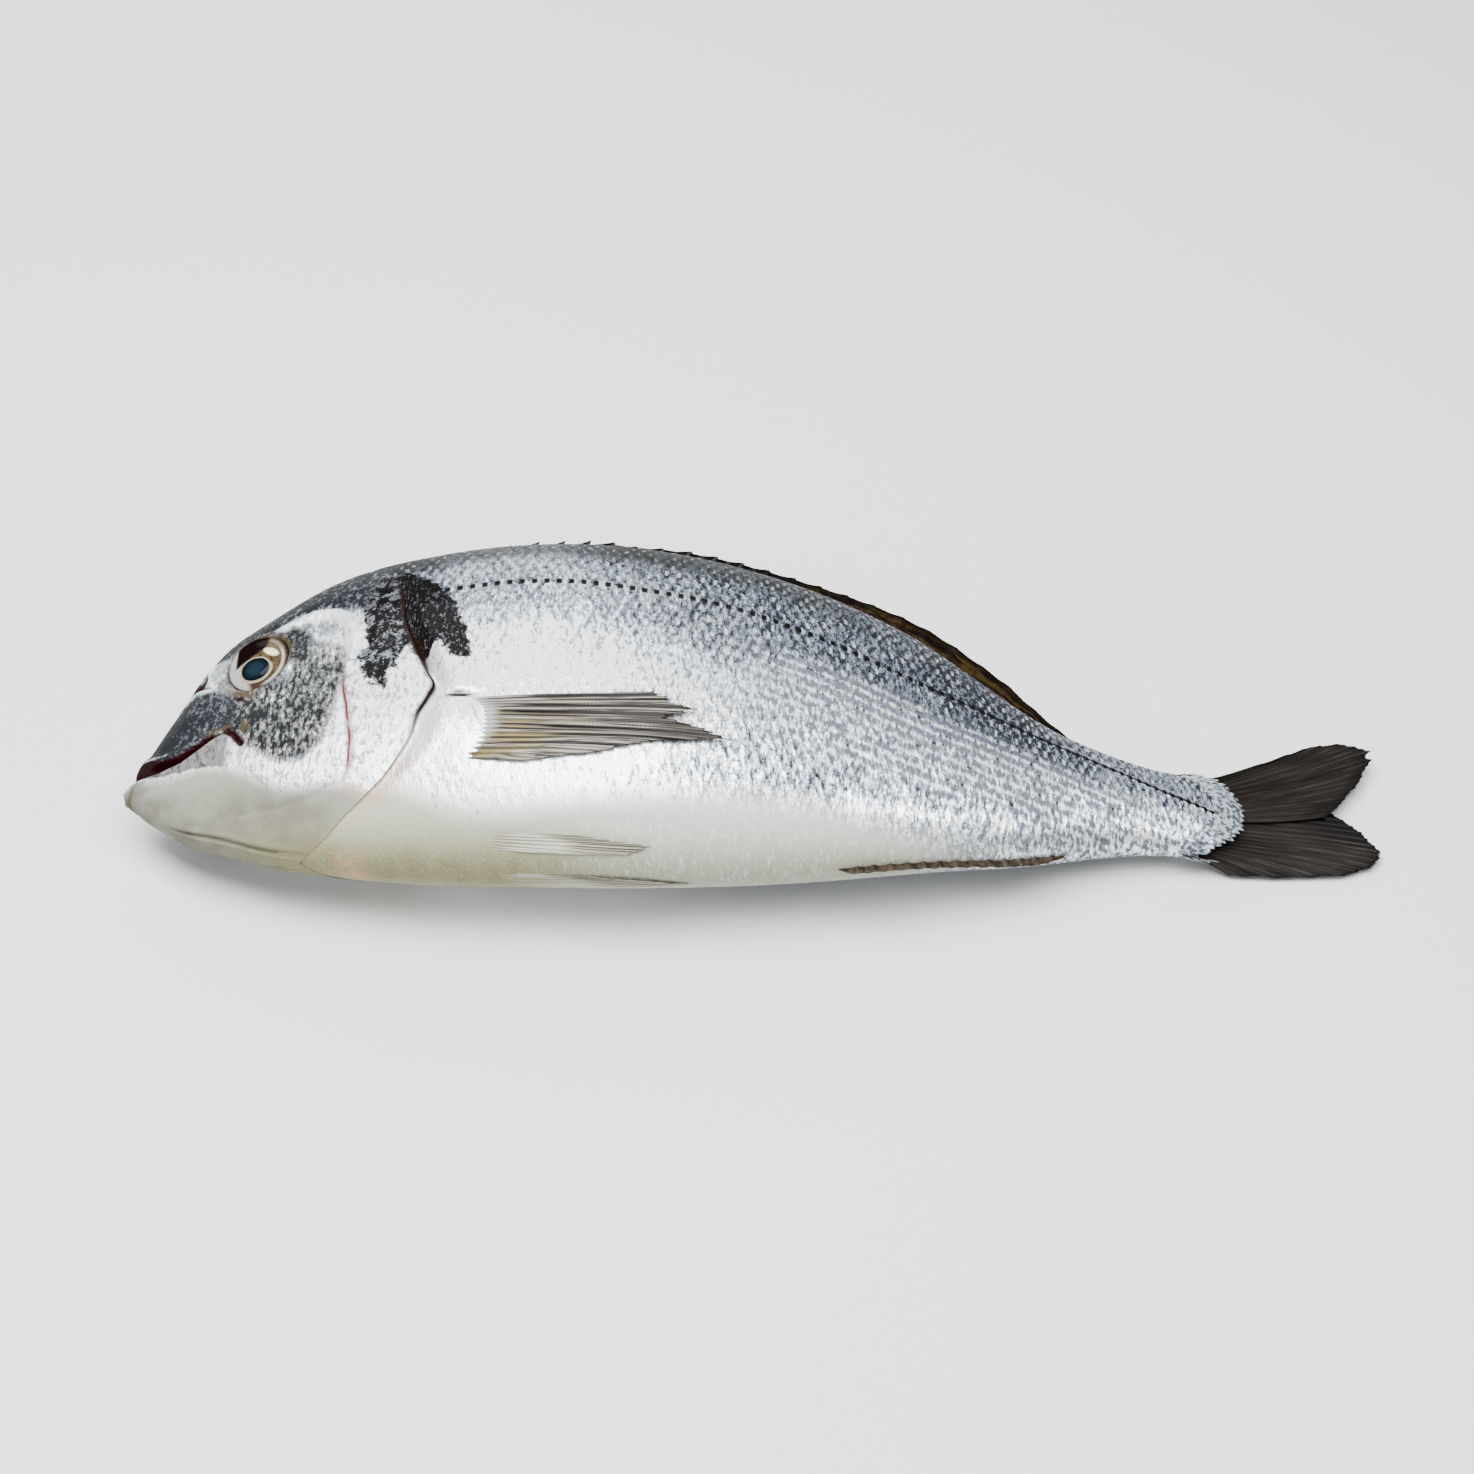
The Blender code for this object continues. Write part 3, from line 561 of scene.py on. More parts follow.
def place_head(a, b):
    t = 2 * math.pi * a + 0.2 * np.sin(4 * math.pi * a)
    mirrored = mirror(t)
    edge = gill_at(np.degrees(mirrored))
    body = np.clip((b - HEAD_CAP) / (HEAD_EDGE - HEAD_CAP), 0, 1)
    s = edge * body
    y = side_height(s, t)
    half = half_at(s)
    flank = fade(0.7, 1.2, mirrored)

    gap_depth = inside(MOUTH_GAP, s, y)
    cleft = -np.minimum(3.0, 0.62 * half) * fade(-0.15, 1.0, gap_depth)
    under_gap = fade(0.3, -0.3, y - mouth_top_at(s))
    lips = (0.25 + 0.3 * under_gap) * hump(gap_depth, -1.0, 0.9) * fade(27, 22, s)
    lip_away, _, _ = from_line(LOWER_LIP, s, y)
    corner = from_line(MOUTH_CORNER, s, y)[0]
    lips = lips - 0.4 * hump(lip_away, 0, 0.9) - 1.0 * hump(corner, 0, 0.7)
    lower_band = 0.35 * fade(-1, 1, gap_depth + 2.2) * fade(27, 22, s)

    nostril = inside(NOSTRIL, s, y)
    front_hole = from_line(FRONT_NOSTRIL, s, y)[0]
    nose = -1.3 * fade(0, 1.0, nostril) + 0.35 * hump(nostril, -0.8, 0.7) - 0.7 * hump(front_hole, 0, 0.6)
    nose = nose + 0.4 * hump(from_line(NOSTRIL_LIP, s, y)[0], 0, 0.5) + 0.5 * fade(0, 2, inside(NOSE_BONE, s, y))

    round_eye = np.hypot(s - EYE_SPOT[0], y - EYE_SPOT[1])
    tilt = 0.17 * (y - EYE_SPOT[1]) * hump(round_eye, 0, 14)
    rear_away, _, rear_hand = from_line(CHEEK_REAR, s, y)
    low_away, _, _ = from_line(CHEEK_LOW, s, y)
    plate = -0.55 * hump(np.minimum(rear_away, low_away), 0, 0.55) + 0.30 * hump(rear_away * rear_hand, 1.6, 1.5)
    scales_edge = from_line(CHEEK_SCALES, s, y)[0]
    plate = plate - 0.22 * hump(scales_edge, 0, 0.8)
    ridge = 0.7 * fade(-0.5, 2.0, inside(BONE_RIDGE, s, y)) - 0.35 * hump(inside(BONE_RIDGE, s, y), -1.2, 1.0)
    cover = 0.55 * fade(16, 3, edge - s) * flank * fade(-50, -38, y)
    under = fade(3.0, 3.3, t)
    fold_turn = np.abs(np.degrees(mirrored) - 180 + 5 + 4 * hump(s, 22, 9) + under * (2 + 11 * hump(s, 27, 11)))
    fold = 0.8 * fade(10, 17, s) * fade(48, 38, s)
    folds = -0.8 * fold * hump(fold_turn, 0, 2.6) + 0.5 * fold * hump(fold_turn, 4, 3)
    relief = cleft + lips + lower_band + nose + tilt + plate + ridge + cover + folds
    out = outward(s, t)
    points = section(s, t) + out * relief[:, None]

    socket = np.zeros(len(s))
    for spot, way in eye_places.values():
        away = points - spot
        height = away @ way
        across = np.linalg.norm(away - height[:, None] * way, axis=1)
        near = (np.abs(height) < 9) & (across < 14)
        sunk = np.where(near, fade(EYE_RADIUS + 0.9, EYE_RADIUS - 0.3, across), 0)
        drop = np.where(near, 0.55 * hump(across, EYE_RADIUS + 1.5, 0.9), 0) * (1 - sunk)
        points = points + way * (sunk * (-2.2 - height) + drop)[:, None]
        socket = np.maximum(socket, np.where(near, hump(across, EYE_RADIUS + 0.7, 0.9), 0))

    nose_tip = np.array([SNOUT_X, -20.5 + SHIFT_Y, middle_at(0.0)])
    cap = np.clip(b / HEAD_CAP, 0, 1)
    points = nose_tip + (points - nose_tip) * cap[:, None]
    points[:, 0] -= 0.3 * (1 - cap ** 2)
    rolled = np.clip((b - HEAD_EDGE) / (HEAD_TUCK - HEAD_EDGE), 0, 1) * math.pi
    wall = 0.06 + 0.94 * flank * fade(-40, -16, y)
    points = points - out * (wall * (1 - np.cos(rolled)) / 2)[:, None]
    points[:, 0] += wall * np.sin(rolled) * 0.6
    core = np.array([50 + SNOUT_X, -6.0, 19.0])
    shut = np.clip((b - HEAD_TUCK) / (1 - HEAD_TUCK), 0, 1)[:, None]
    points = points + (core - points) * shut
    points[:, 2] = np.maximum(points[:, 2], 0)

    snout = fade(-1.2, 1.0, inside(SNOUT_DARK, s, y))
    nape = fade(-1.5, 1.5, inside(NAPE_DARK, s, y))
    cheek = fade(-2.0, 1.2, inside(CHEEK, s, y))
    blotch = np.clip(0.5 + inside(BLOTCH, s, y) / 4.5, 0, 1) - 0.15 * fade(4, -8, y)
    # Pale silver over the bone ridge, the plate before the eye, the nostril rim and the upper lip: the pale bone, with
    # painted highlights along the ridge and the lip.
    pale_bone_and_shine = fade(-1.0, 1.0, inside(BONE_RIDGE, s, y)) + 0.35 * fade(-0.8, 0.8, inside(NOSE_BONE, s, y))
    pale_bone_and_shine = pale_bone_and_shine + hump(from_line(NOSTRIL_LIP, s, y)[0], 0, 0.45)
    pale_bone_and_shine = pale_bone_and_shine + 0.6 * hump(from_line(LIP_SHINE, s, y)[0], 0, 0.3)
    cream = 1 - fade(-2.5, 2.0, y - cream_edge_at(s))
    behind_eye = blob(s, y, (40.5, 10), (3.0, 9))
    cheek_low = cheek * fade(-9, -19, y)
    smooth_bone_and_shine = 1 - 0.72 * np.clip(pale_bone_and_shine, 0, 1)
    lid_way = (0.5 * (s - EYE_SPOT[0]) + 0.87 * (y - EYE_SPOT[1])) / np.maximum(round_eye, 1e-6)
    shade = (0.7 * fade(15.0, 12.0, round_eye) + 0.3 * fade(19, 12, round_eye)) * fade(-0.3, 0.4, lid_way)
    # Darker below the eye: painted shade.
    under_eye_shade = fade(14.5, 9.5, round_eye) * fade(0.3, -0.4, lid_way) * fade(-6.5, -1.0, s - EYE_SPOT[0])
    temple = blob(s, y, (47.0, 10.5), (4.2, 4.5))
    bridge = blob(s, y, (21.2, 7.0), (2.6, 5.0))
    dark = np.maximum.reduce([0.40 * temple, 0.50 * bridge, (0.92 + 0.25 * fade(17, 9, s)) * snout, (1.02 - 0.14 * fade(48, 62, s)) * nape, 0.74 * under_eye_shade, (0.46 + 0.27 * fade(3, -4, y)) * cheek + 0.08 * cheek_low,
                              0.60 * behind_eye, 0.88 * shade, 0.03 * (1 - cream)]) * smooth_bone_and_shine
    red = 0.9 * hump(rear_away, 0, 0.40) * fade(-6, -11, y) + 0.3 * hump(rear_away, 0, 0.5)
    warm = fade(-2, 1.5, inside(FLUSH_PATCH, s, y)) + 0.5 * cheek_low
    # Dark maroon in the mouth cleft, the nostrils, the mouth corner and a small spot below the eye: the flesh's own
    # dark red, with painted shade deep inside.
    hole_shade = np.maximum.reduce([fade(-0.35, 0.0, gap_depth), fade(-0.3, 0.5, nostril), fade(1.25, 0.55, corner),
                              hump(front_hole, 0, 0.8), fade(1.1, 0.4, np.hypot((s - 26.6) * 0.8, y + 5.9))])
    # Dark brown along the cover's free edge and round its rolled rim: the rim's own brown, with painted shade where it
    # turns under into the gill slit.
    edge_brown = fade(HEAD_EDGE - 0.015, HEAD_EDGE + 0.003, b) * flank * fade(-38, -20, y)
    # Dark olive-brown in the creases: the fold before the eye, the groove round the eyeball, the lip corner, the chin
    # nick and a spot at the mouth corner. Painted shade in the creases.
    olive = hump(from_line(EYE_FOLD, s, y)[0], 0, 0.9) + socket * 0.9 + hump(from_line(LIP_CORNER, s, y)[0], 0, 0.8)
    olive = olive + hump(from_line(CHIN_NICK, s, y)[0], 0, 0.5) + 0.8 * fade(1.6, 0.6, np.hypot(s - 28.8, (y + 15.6) * 0.6))
    fields = {"dark": dark, "swing": 1.9 + 1.3 * cheek * fade(5, -3, y) - 0.4 * snout - 0.3 * shade + 0.6 * nape * (1 - shade),
              "low": fade(146, 176, np.degrees(mirrored)) * fade(15, 50, s),
              # Darker under the jaw and at the chin tip: painted shade.
              "underjaw_shade": np.maximum(fade(126, 150, np.degrees(mirrored)) * fade(60, 44, s), 0.8 * fade(8, 2, s)),
              "cream": cream, "blotch": blotch, "red": red, "warm": warm, "hole_shade": hole_shade, "edge": edge_brown,
              "olive": olive, "fold": 0.5 * fold * hump(fold_turn, 0, 2.4), "earthy": np.maximum.reduce([cheek, 0.6 * snout, shade, 0.55 * nape]), "pale_bone_and_shine": np.clip(pale_bone_and_shine, 0, 1),
              "cheek": cheek,
              "lip": fade(-0.3, 0.6, np.minimum(mouth_top_at(s) - y, 5.4 - lip_away)) * (y > cream_edge_at(s)) * fade(27, 24, s)}
    return points, (a, b), fields


head = lay_out("head", HEAD_COLUMNS, HEAD_ROWS, place_head)

CREAM, HOLE_SHADE_MAROON = (0.262, 0.261, 0.210), (0.015, 0.0020, 0.0018)
CREASE_SHADE_BROWN, RED_LINE = (0.07, 0.048, 0.022), (0.15, 0.020, 0.018)

w = Wiring("head_skin")
slanted = w.noise(w.place((1.15, 0.55, 0.8), (0, 0, 0.5)), 760.0, 4.0, 0.62, 0.3)
upright = w.noise(w.place((1.5, 0.62, 0.9), (0, 0, -0.12)), 720.0, 3.0, 0.6, 0.3)
fine = w.noise(w.place(), 1500.0, 2.0, 0.6)
cloud, coarse = w.noise(w.place(), 150.0, 3.0), w.noise(w.place((1.0, 0.8, 1.0), (0, 0, 0.9)), 420.0, 4.0, 0.6, 0.5)
cheek, cream = w.field("cheek"), w.field("cream")
grain = w.sum("ADD", w.sum("MULTIPLY", slanted, w.sum("SUBTRACT", 1.0, cheek)), w.sum("MULTIPLY", upright, cheek))
tone = w.sum("MULTIPLY_ADD", w.sum("SUBTRACT", grain, 0.5), w.field("swing"), w.field("dark"))
tone = swing(w, fine, 1.0, tone)
tone = swing(w, cloud, 0.4, tone)
colour = skin_tone(w, tone)
colour = w.mix(w.sum("MULTIPLY", w.field("earthy"), w.fade(0.1, 0.5, tone)), colour, (1.0, 0.90, 0.74), "MULTIPLY")
colour = w.mix(w.sum("MULTIPLY", w.field("warm"), w.sum("MULTIPLY", w.fade(0.3, 0.65, cloud), w.fade(0.55, 0.3, tone))), colour, FLUSH)
# Silver on the pale bone, with painted highlights on the ridge and the lip.
colour = w.mix(w.sum("MULTIPLY", w.field("pale_bone_and_shine"), w.fade(0.36, 0.60, coarse)), colour, SILVER)
cream_now = w.mix(w.fade(0.42, 0.62, w.noise(w.place(), 90.0, 3.0)), CREAM, (0.25, 0.25, 0.205))
# The cream darkens under the jaw and at the chin tip: painted shade.
cream_now = w.mix(w.sum("MULTIPLY", w.field("underjaw_shade"), w.fade(0.1, 0.7, cloud)), cream_now, (0.14, 0.137, 0.109))
cream_now = w.mix(w.sum("MULTIPLY", w.fade(0.58, 0.72, coarse), 0.3), cream_now, (0.17, 0.17, 0.155))
# The head's underside turns olive: painted shade.
cream_now = w.mix(w.field("low"), cream_now, UNDERSIDE_SHADE_OLIVE)
colour = w.mix(cream, colour, cream_now)
lip_tone = w.mix(w.fade(0.44, 0.62, slanted), (0.095, 0.092, 0.085), (0.028, 0.027, 0.026))
colour = w.mix(w.sum("MULTIPLY", w.field("lip"), 0.9), colour, lip_tone)
# Painted shade in the creases.
colour = w.mix(w.sum("MULTIPLY", w.field("olive"), 0.75), colour, CREASE_SHADE_BROWN)
ragged = swing(w, w.noise(w.place(), 330.0, 5.0, 0.65), 1.7, w.field("blotch"))
flecks = w.fade(0.64, 0.50, swing(w, fine, 0.7, coarse))
colour = w.mix(w.sum("MULTIPLY", w.fade(0.42, 0.60, ragged), 0.86), colour, (0.105, 0.112, 0.124))
colour = w.mix(w.sum("MULTIPLY", w.fade(0.46, 0.66, ragged), flecks), colour, INK)
colour = w.mix(w.sum("MULTIPLY", w.field("red"), w.fade(0.25, 0.5, cloud)), colour, RED_LINE)
# Dark olive-brown along the throat folds: painted shade in the creases.
colour = w.mix(w.sum("MULTIPLY", w.field("fold"), 0.8), colour, CREASE_SHADE_BROWN)
# The cover's rim: its own brown, with painted shade where it turns under.
colour = w.mix(w.field("edge"), colour, GILL_SLIT_SHADE_BROWN)
# Painted shade inside the mouth and the nostrils, over the flesh's dark red.
colour = w.mix(w.field("hole_shade"), colour, HOLE_SHADE_MAROON)
normal = w.bump(w.sum("MULTIPLY", grain, w.sum("SUBTRACT", 1.0, cream)), 0.00030)
normal = w.bump(w.noise(w.place(), 300.0, 3.0), 0.0002, normal)
roughness = w.sum("MULTIPLY_ADD", cream, 0.12, w.sum("MULTIPLY_ADD", cloud, 0.15, 0.24))
roughness = w.sum("MULTIPLY_ADD", w.fade(0.3, 0.8, w.field("dark")), 0.2, roughness)
metallic = w.sum("MULTIPLY", w.sum("SUBTRACT", 1.0, w.sum("MAXIMUM", cream, w.field("lip"))), w.fade(1.0, 0.2, tone))
w.finish(head, colour, roughness, normal, w.sum("MULTIPLY", metallic, 0.5), Coat_Weight=0.10, Coat_Roughness=0.15,
         Specular_IOR_Level=0.0)
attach(head, "root")

# Eyes: a clear round eyeball in each socket, sunk a little. The pupil has clouded to a dull blue, with a
# cream ring round it and a brown and gold iris, darkest above, and a painted cream highlight at the upper rear.
EYE_RISE = 1.3


def place_eye(side):
    spot, way = eye_places[side]
    ahead = np.array([1.0, 0, 0]) - way * way[0]
    ahead = ahead / np.linalg.norm(ahead)
    up = np.cross(way, ahead) * side

    def place(a, b):
        turn = 2 * math.pi * a
        radius = np.interp(b, [0, 0.80, 0.86, 1], [0, EYE_RADIUS + 0.25, EYE_RADIUS + 0.25, 0])
        share = np.clip(radius / (EYE_RADIUS + 0.25), 0, 1)
        dome = -0.7 + EYE_RISE * np.sqrt(1 - 0.94 * share ** 2) + 0.25 * (1 - fade(0.40, 0.62, share))
        height = np.where(b <= 0.80, dome, np.interp(b, [0.80, 0.86, 1], [-0.7, -2.6, -2.6]))
        ring = np.cos(turn)[:, None] * ahead + np.sin(turn)[:, None] * up
        points = spot + ring * radius[:, None] + way * height[:, None]
        points[:, 2] = np.maximum(points[:, 2], 0.02)
        return points, (a, np.where(b <= 0.80, share, 1.0)), {"across": np.where(b <= 0.8, share, 1.0),
                                                               "fore": share * np.cos(turn), "rise": share * np.sin(turn)}

    return place


w = Wiring("clouded_eye")
across, fore, up_share = w.field("across"), w.field("fore"), w.field("rise")
uneven = w.noise(w.place(), 420.0, 3.0)
off_fore = w.sum("MULTIPLY", w.sum("ADD", fore, 0.015), 1 / 0.47)
off_rise = w.sum("MULTIPLY", w.sum("ADD", up_share, 0.26), 1 / 0.39)
pupil_away = w.sum("SQRT", w.sum("ADD", w.sum("POWER", off_fore, 2.0), w.sum("POWER", off_rise, 2.0)))
pupil_away = swing(w, uneven, 0.08, pupil_away)
fibres = w.noise(w.place(), 1400.0, 2.0)
iris = w.mix(w.fade(0.35, 0.65, uneven), (0.070, 0.045, 0.024), (0.028, 0.016, 0.009))
iris = w.mix(w.sum("MULTIPLY", w.fade(0.45, 0.65, fibres), 0.4), iris, (0.17, 0.12, 0.06))
iris = w.mix(w.sum("MULTIPLY", w.fade(-0.35, -0.75, up_share), w.fade(-0.5, -0.1, fore)), iris, (0.040, 0.020, 0.012))
white_front = w.fade(-0.34, -0.56, w.sum("MULTIPLY_ADD", up_share, 0.30, fore))
iris = w.mix(w.sum("MULTIPLY", white_front, 0.92), iris, (0.30, 0.29, 0.28))
rim = w.sum("MULTIPLY", w.fade(0.07, 0.02, w.sum("ABSOLUTE", w.sum("SUBTRACT", across, 0.86))), w.fade(0.1, 0.5, fore))
iris = w.mix(rim, iris, (0.30, 0.28, 0.24))
gold = w.sum("MULTIPLY", w.fade(0.28, 0.5, up_share), w.fade(0.0, 0.3, fore))
iris = w.mix(w.sum("MULTIPLY", gold, 0.7), iris, (0.085, 0.060, 0.034))
night = w.sum("MULTIPLY", w.fade(0.24, 0.36, w.sum("MULTIPLY_ADD", fore, -0.58, up_share)),
              w.fade(0.26, 0.10, w.sum("MULTIPLY_ADD", up_share, -0.20, fore)))
iris = w.mix(w.sum("MULTIPLY", night, w.fade(-0.76, -0.66, fore)), iris, (0.0035, 0.0012, 0.0010))
# A cream patch at the upper rear of the eye: a painted highlight.
highlight_patch = w.sum("ADD", w.sum("POWER", w.sum("MULTIPLY", w.sum("SUBTRACT", fore, 0.46), 3.6), 2.0),
              w.sum("POWER", w.sum("MULTIPLY", w.sum("MULTIPLY_ADD", fore, 0.45, w.sum("SUBTRACT", up_share, 0.50)), 6.0), 2.0))
iris = w.mix(w.sum("MULTIPLY", w.fade(1.1, 0.35, highlight_patch), 0.92), iris, (0.74, 0.67, 0.50))
iris = w.mix(w.fade(0.92, 0.99, across), iris, (0.020, 0.014, 0.010))
thick = w.sum("MULTIPLY_ADD", w.fade(-0.1, -0.6, w.sum("MULTIPLY_ADD", fore, -0.4, up_share)), 0.10, 1.09)
colour = w.mix(w.sum("MULTIPLY", w.fade(0.10, 0.04, w.sum("SUBTRACT", pupil_away, thick)), 0.35), iris, (0.05, 0.03, 0.02))
colour = w.mix(w.fade(0.05, 0.0, w.sum("SUBTRACT", pupil_away, thick)), colour, (0.25, 0.22, 0.15))
pupil_tone = w.mix(w.fade(0.35, 1.0, pupil_away), (0.0065, 0.0150, 0.0225), (0.0010, 0.0026, 0.0042))
colour = w.mix(w.fade(1.03, 0.97, pupil_away), colour, pupil_tone)
for side, name in ((1, "left_eye"), (-1, "right_eye")):
    eye = lay_out(name, 96, 56, place_eye(side))
    w.finish(eye, colour, 0.3, None, 0.0, Coat_Weight=0.14, Coat_Roughness=0.08, Specular_IOR_Level=0.0)
    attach(eye, "root")

# Paired fins: breast and belly fins folded back against the skin. Thin grey-brown blades, ribbed by fine
# rays that end in ragged tips; the rays are darkest along the upper edge and yellowish near the root.
PECTORAL_ROOT = [(0, 82, -18.4), (0.3, 86, -21.5), (0.65, 85.5, -27.5), (1, 81.5, -34.0)]
PECTORAL_TIP = [(0, 126, -17.2), (0.08, 131.5, -18.7), (0.16, 131.5, -20.2), (0.26, 138.6, -21.6),
                (0.33, 131, -23.4), (0.38, 129.5, -24.3), (0.46, 139, -26.4), (0.56, 148, -28.9),
                (0.64, 138, -29.2), (0.76, 126, -30.4), (0.88, 113, -33.2), (1, 96, -35.0)]
PELVIC_ROOT = {1: [(0, 88.5, 157), (1, 87.5, 165)], -1: [(0, 89, 180), (1, 88, 193)]}
PELVIC_TIP = {1: [(0, 109.4, 158), (0.4, 126, 162.5), (0.7, 121, 167.5), (1, 106.5, 167.5)],
              -1: [(0, 112, 180.5), (0.35, 124, 183), (0.6, 136, 189), (0.85, 128.5, 194), (1, 114.6, 194)]}


def spread(line, share):
    """The place on a line of (share, first, second) points at each share."""
    shares, first, second = np.array(line, float).T
    return np.interp(share, shares, first), np.interp(share, shares, second)


def scatter(number, seed):
    """A value from 0 to 1 for each whole number."""
    return np.sin((np.round(number) + seed) * 12.9898) * 43758.5453 % 1.0


def lay_blade(name, rays, columns, rows, where, thickness, ragged, seed, teeth=0.0):
    """A fin blade, closed all round: where(share, out) returns its middle surface and the way out of it."""
    def place(a, b):
        share, face = 1 - np.abs(2 * a - 1), np.where(a <= 0.5, 1.0, -1.0)
        ray = share * rays
        single, double = np.abs(np.cos(math.pi * ray)) ** 3, np.abs(np.cos(2 * math.pi * ray)) ** 3
        split = fade(0.35, 0.7, b)
        rib = single * (1 - split) + double * split
        saw = 1 - (ray - np.floor(ray))
        reach = 1 - ragged(share) * ((1 - teeth) * (0.65 * scatter(ray, seed) + 0.35 * (1 - rib)) + teeth * saw)
        middle, way = where(share, b * reach)
        shut = (1 - (2 * b - 1) ** 12) * (1 - (2 * share - 1) ** 12)
        half = 0.5 * thickness * (0.4 + 0.6 * rib) * (1 - 0.45 * b) * np.sqrt(np.clip(shut, 0, 1))
        wave = 0.12 * thickness * np.cos(2 * math.pi * ray)
        points = middle + way * (face * half + wave)[:, None]
        points[:, 2] = np.maximum(points[:, 2], 0.03)
        return points, (share, b), {"rib": rib, "out": b, "share": share, "chance": scatter(ray, seed + 3)}

    blade = lay_out(name, columns, rows, place)
    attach(blade, "root")
    return blade


def laid_on(side, turned, root, tip, lift):
    """The middle surface of a fin that lies on one side of the body."""
    def where(share, out):
        (s0, h0), (s1, h1) = spread(root, share), spread(tip, share)
        s, h = s0 + (s1 - s0) * out, h0 + (h1 - h0) * out
        t = np.radians(h) if turned else turn_at(s, h, side)
        way = outward(s, t)
        height = lift[0] + (lift[1] - lift[0]) * out + 0.35 * np.sin(out * 7 + share * 5) * out
        spot = section(s, t) + way * height[:, None]
        spot[:, 2] = np.maximum(spot[:, 2], 0.45)
        return spot, way

    return where


def streaks(w, across, along, seed=0.0):
    """Noise drawn out along a fin's rays."""
    uv = w.node("ShaderNodeSeparateXYZ")
    w.feed(uv.inputs[0], w.node("ShaderNodeUVMap", uv_map="laid").outputs[0])
    where = w.node("ShaderNodeCombineXYZ")
    for socket, value in zip(where.inputs, (w.sum("MULTIPLY", uv.outputs["X"], across),
                                            w.sum("MULTIPLY", uv.outputs["Y"], along), seed)):
        w.feed(socket, value)
    return w.noise(where.outputs[0], 1.0, 3.0, 0.6)


w = Wiring("breast_fin")
out, share, rib, chance = w.field("out"), w.field("share"), w.field("rib"), w.field("chance")
fibre, broad = streaks(w, 60.0, 3.0), streaks(w, 9.0, 2.0, 4.0)
colour = w.mix(w.fade(0.38, 0.60, fibre), (0.030, 0.025, 0.018), (0.34, 0.31, 0.25))
front_grey = w.sum("MULTIPLY", w.fade(0.45, 0.15, out), w.fade(0.34, 0.22, share))
colour = w.mix(w.sum("MULTIPLY", front_grey, 0.7), colour, (0.30, 0.28, 0.26))
yellow = w.sum("MULTIPLY", w.fade(0.42, 0.56, broad), w.fade(0.62, 0.25, out))
colour = w.mix(w.sum("MULTIPLY", yellow, w.fade(0.25, 0.38, share)), colour, (0.20, 0.155, 0.062))
ticks = w.sum("GREATER_THAN", w.sum("FRACT", w.sum("MULTIPLY", out, 54.0)), 0.5)
ticked = w.sum("MULTIPLY", w.sum("MULTIPLY", ticks, w.fade(0.3, 0.5, out)), w.fade(0.85, 0.6, share))
colour = w.mix(w.sum("MULTIPLY", ticked, 0.45), colour, (0.045, 0.038, 0.030))
heavy = w.fade(0.2, 0.7, w.sum("MULTIPLY_ADD", share, -0.5, w.sum("ADD", chance, 0.25)))
ray_line = w.fade(0.34, 0.68, swing(w, fibre, 0.5, rib))
colour = w.mix(w.sum("MULTIPLY", ray_line, w.sum("MULTIPLY_ADD", heavy, 0.45, 0.55)), colour, (0.005, 0.0055, 0.0045))
for middle, thin, first in ((0.035, 0.030, 0.20), (0.11, 0.026, 0.30), (0.235, 0.036, 0.08), (0.345, 0.040, 0.02),
                           (0.44, 0.028, 0.40), (0.55, 0.026, 0.12), (0.68, 0.026, 0.25), (0.80, 0.022, 0.10)):
    away = w.sum("ABSOLUTE", w.sum("SUBTRACT", share, w.sum("MULTIPLY_ADD", fibre, 0.03, middle - 0.015)))
    colour = w.mix(w.sum("MULTIPLY", w.fade(thin, thin * 0.4, away), w.fade(first, first + 0.2, out)), colour, (0.005, 0.004, 0.004))
tip_dark = w.sum("MULTIPLY", w.fade(0.68, 0.85, out), w.fade(0.30, 0.38, share))
tip_dark = w.sum("MULTIPLY", w.sum("MULTIPLY", tip_dark, w.fade(0.72, 0.58, share)), w.fade(0.42, 0.55, fibre))
colour = w.mix(tip_dark, colour, (0.018, 0.014, 0.011))
root_dark = w.sum("MULTIPLY", w.fade(0.86, 0.96, share), w.fade(0.22, 0.05, out))
colour = w.mix(w.sum("MULTIPLY", root_dark, 0.8), colour, (0.05, 0.028, 0.008))
colour = w.mix(w.sum("MULTIPLY", w.fade(0.10, 0.02, swing(w, fibre, 0.16, out)), 0.7), colour, (0.40, 0.41, 0.42))
pectoral_finish = (colour, 0.32, w.bump(fibre, 0.0001))
for side, name in ((1, "left_breast_fin"), (-1, "right_breast_fin")):
    fin = lay_blade(name, 15, 240, 70, laid_on(side, False, PECTORAL_ROOT, PECTORAL_TIP, (0.35, 1.3) if side > 0 else (0.3, 0.6)),
                    0.7, lambda share: 0.10, 2.0)
    w.finish(fin, *pectoral_finish, 0.0, Coat_Weight=0.12, Coat_Roughness=0.15, Specular_IOR_Level=0.1)

w = Wiring("belly_fin")
out, rib = w.field("out"), w.field("rib")
fibre = streaks(w, 40.0, 2.5)
share = w.field("share")
colour = w.mix(w.fade(0.35, 0.65, fibre), (0.36, 0.355, 0.28), (0.44, 0.435, 0.36))
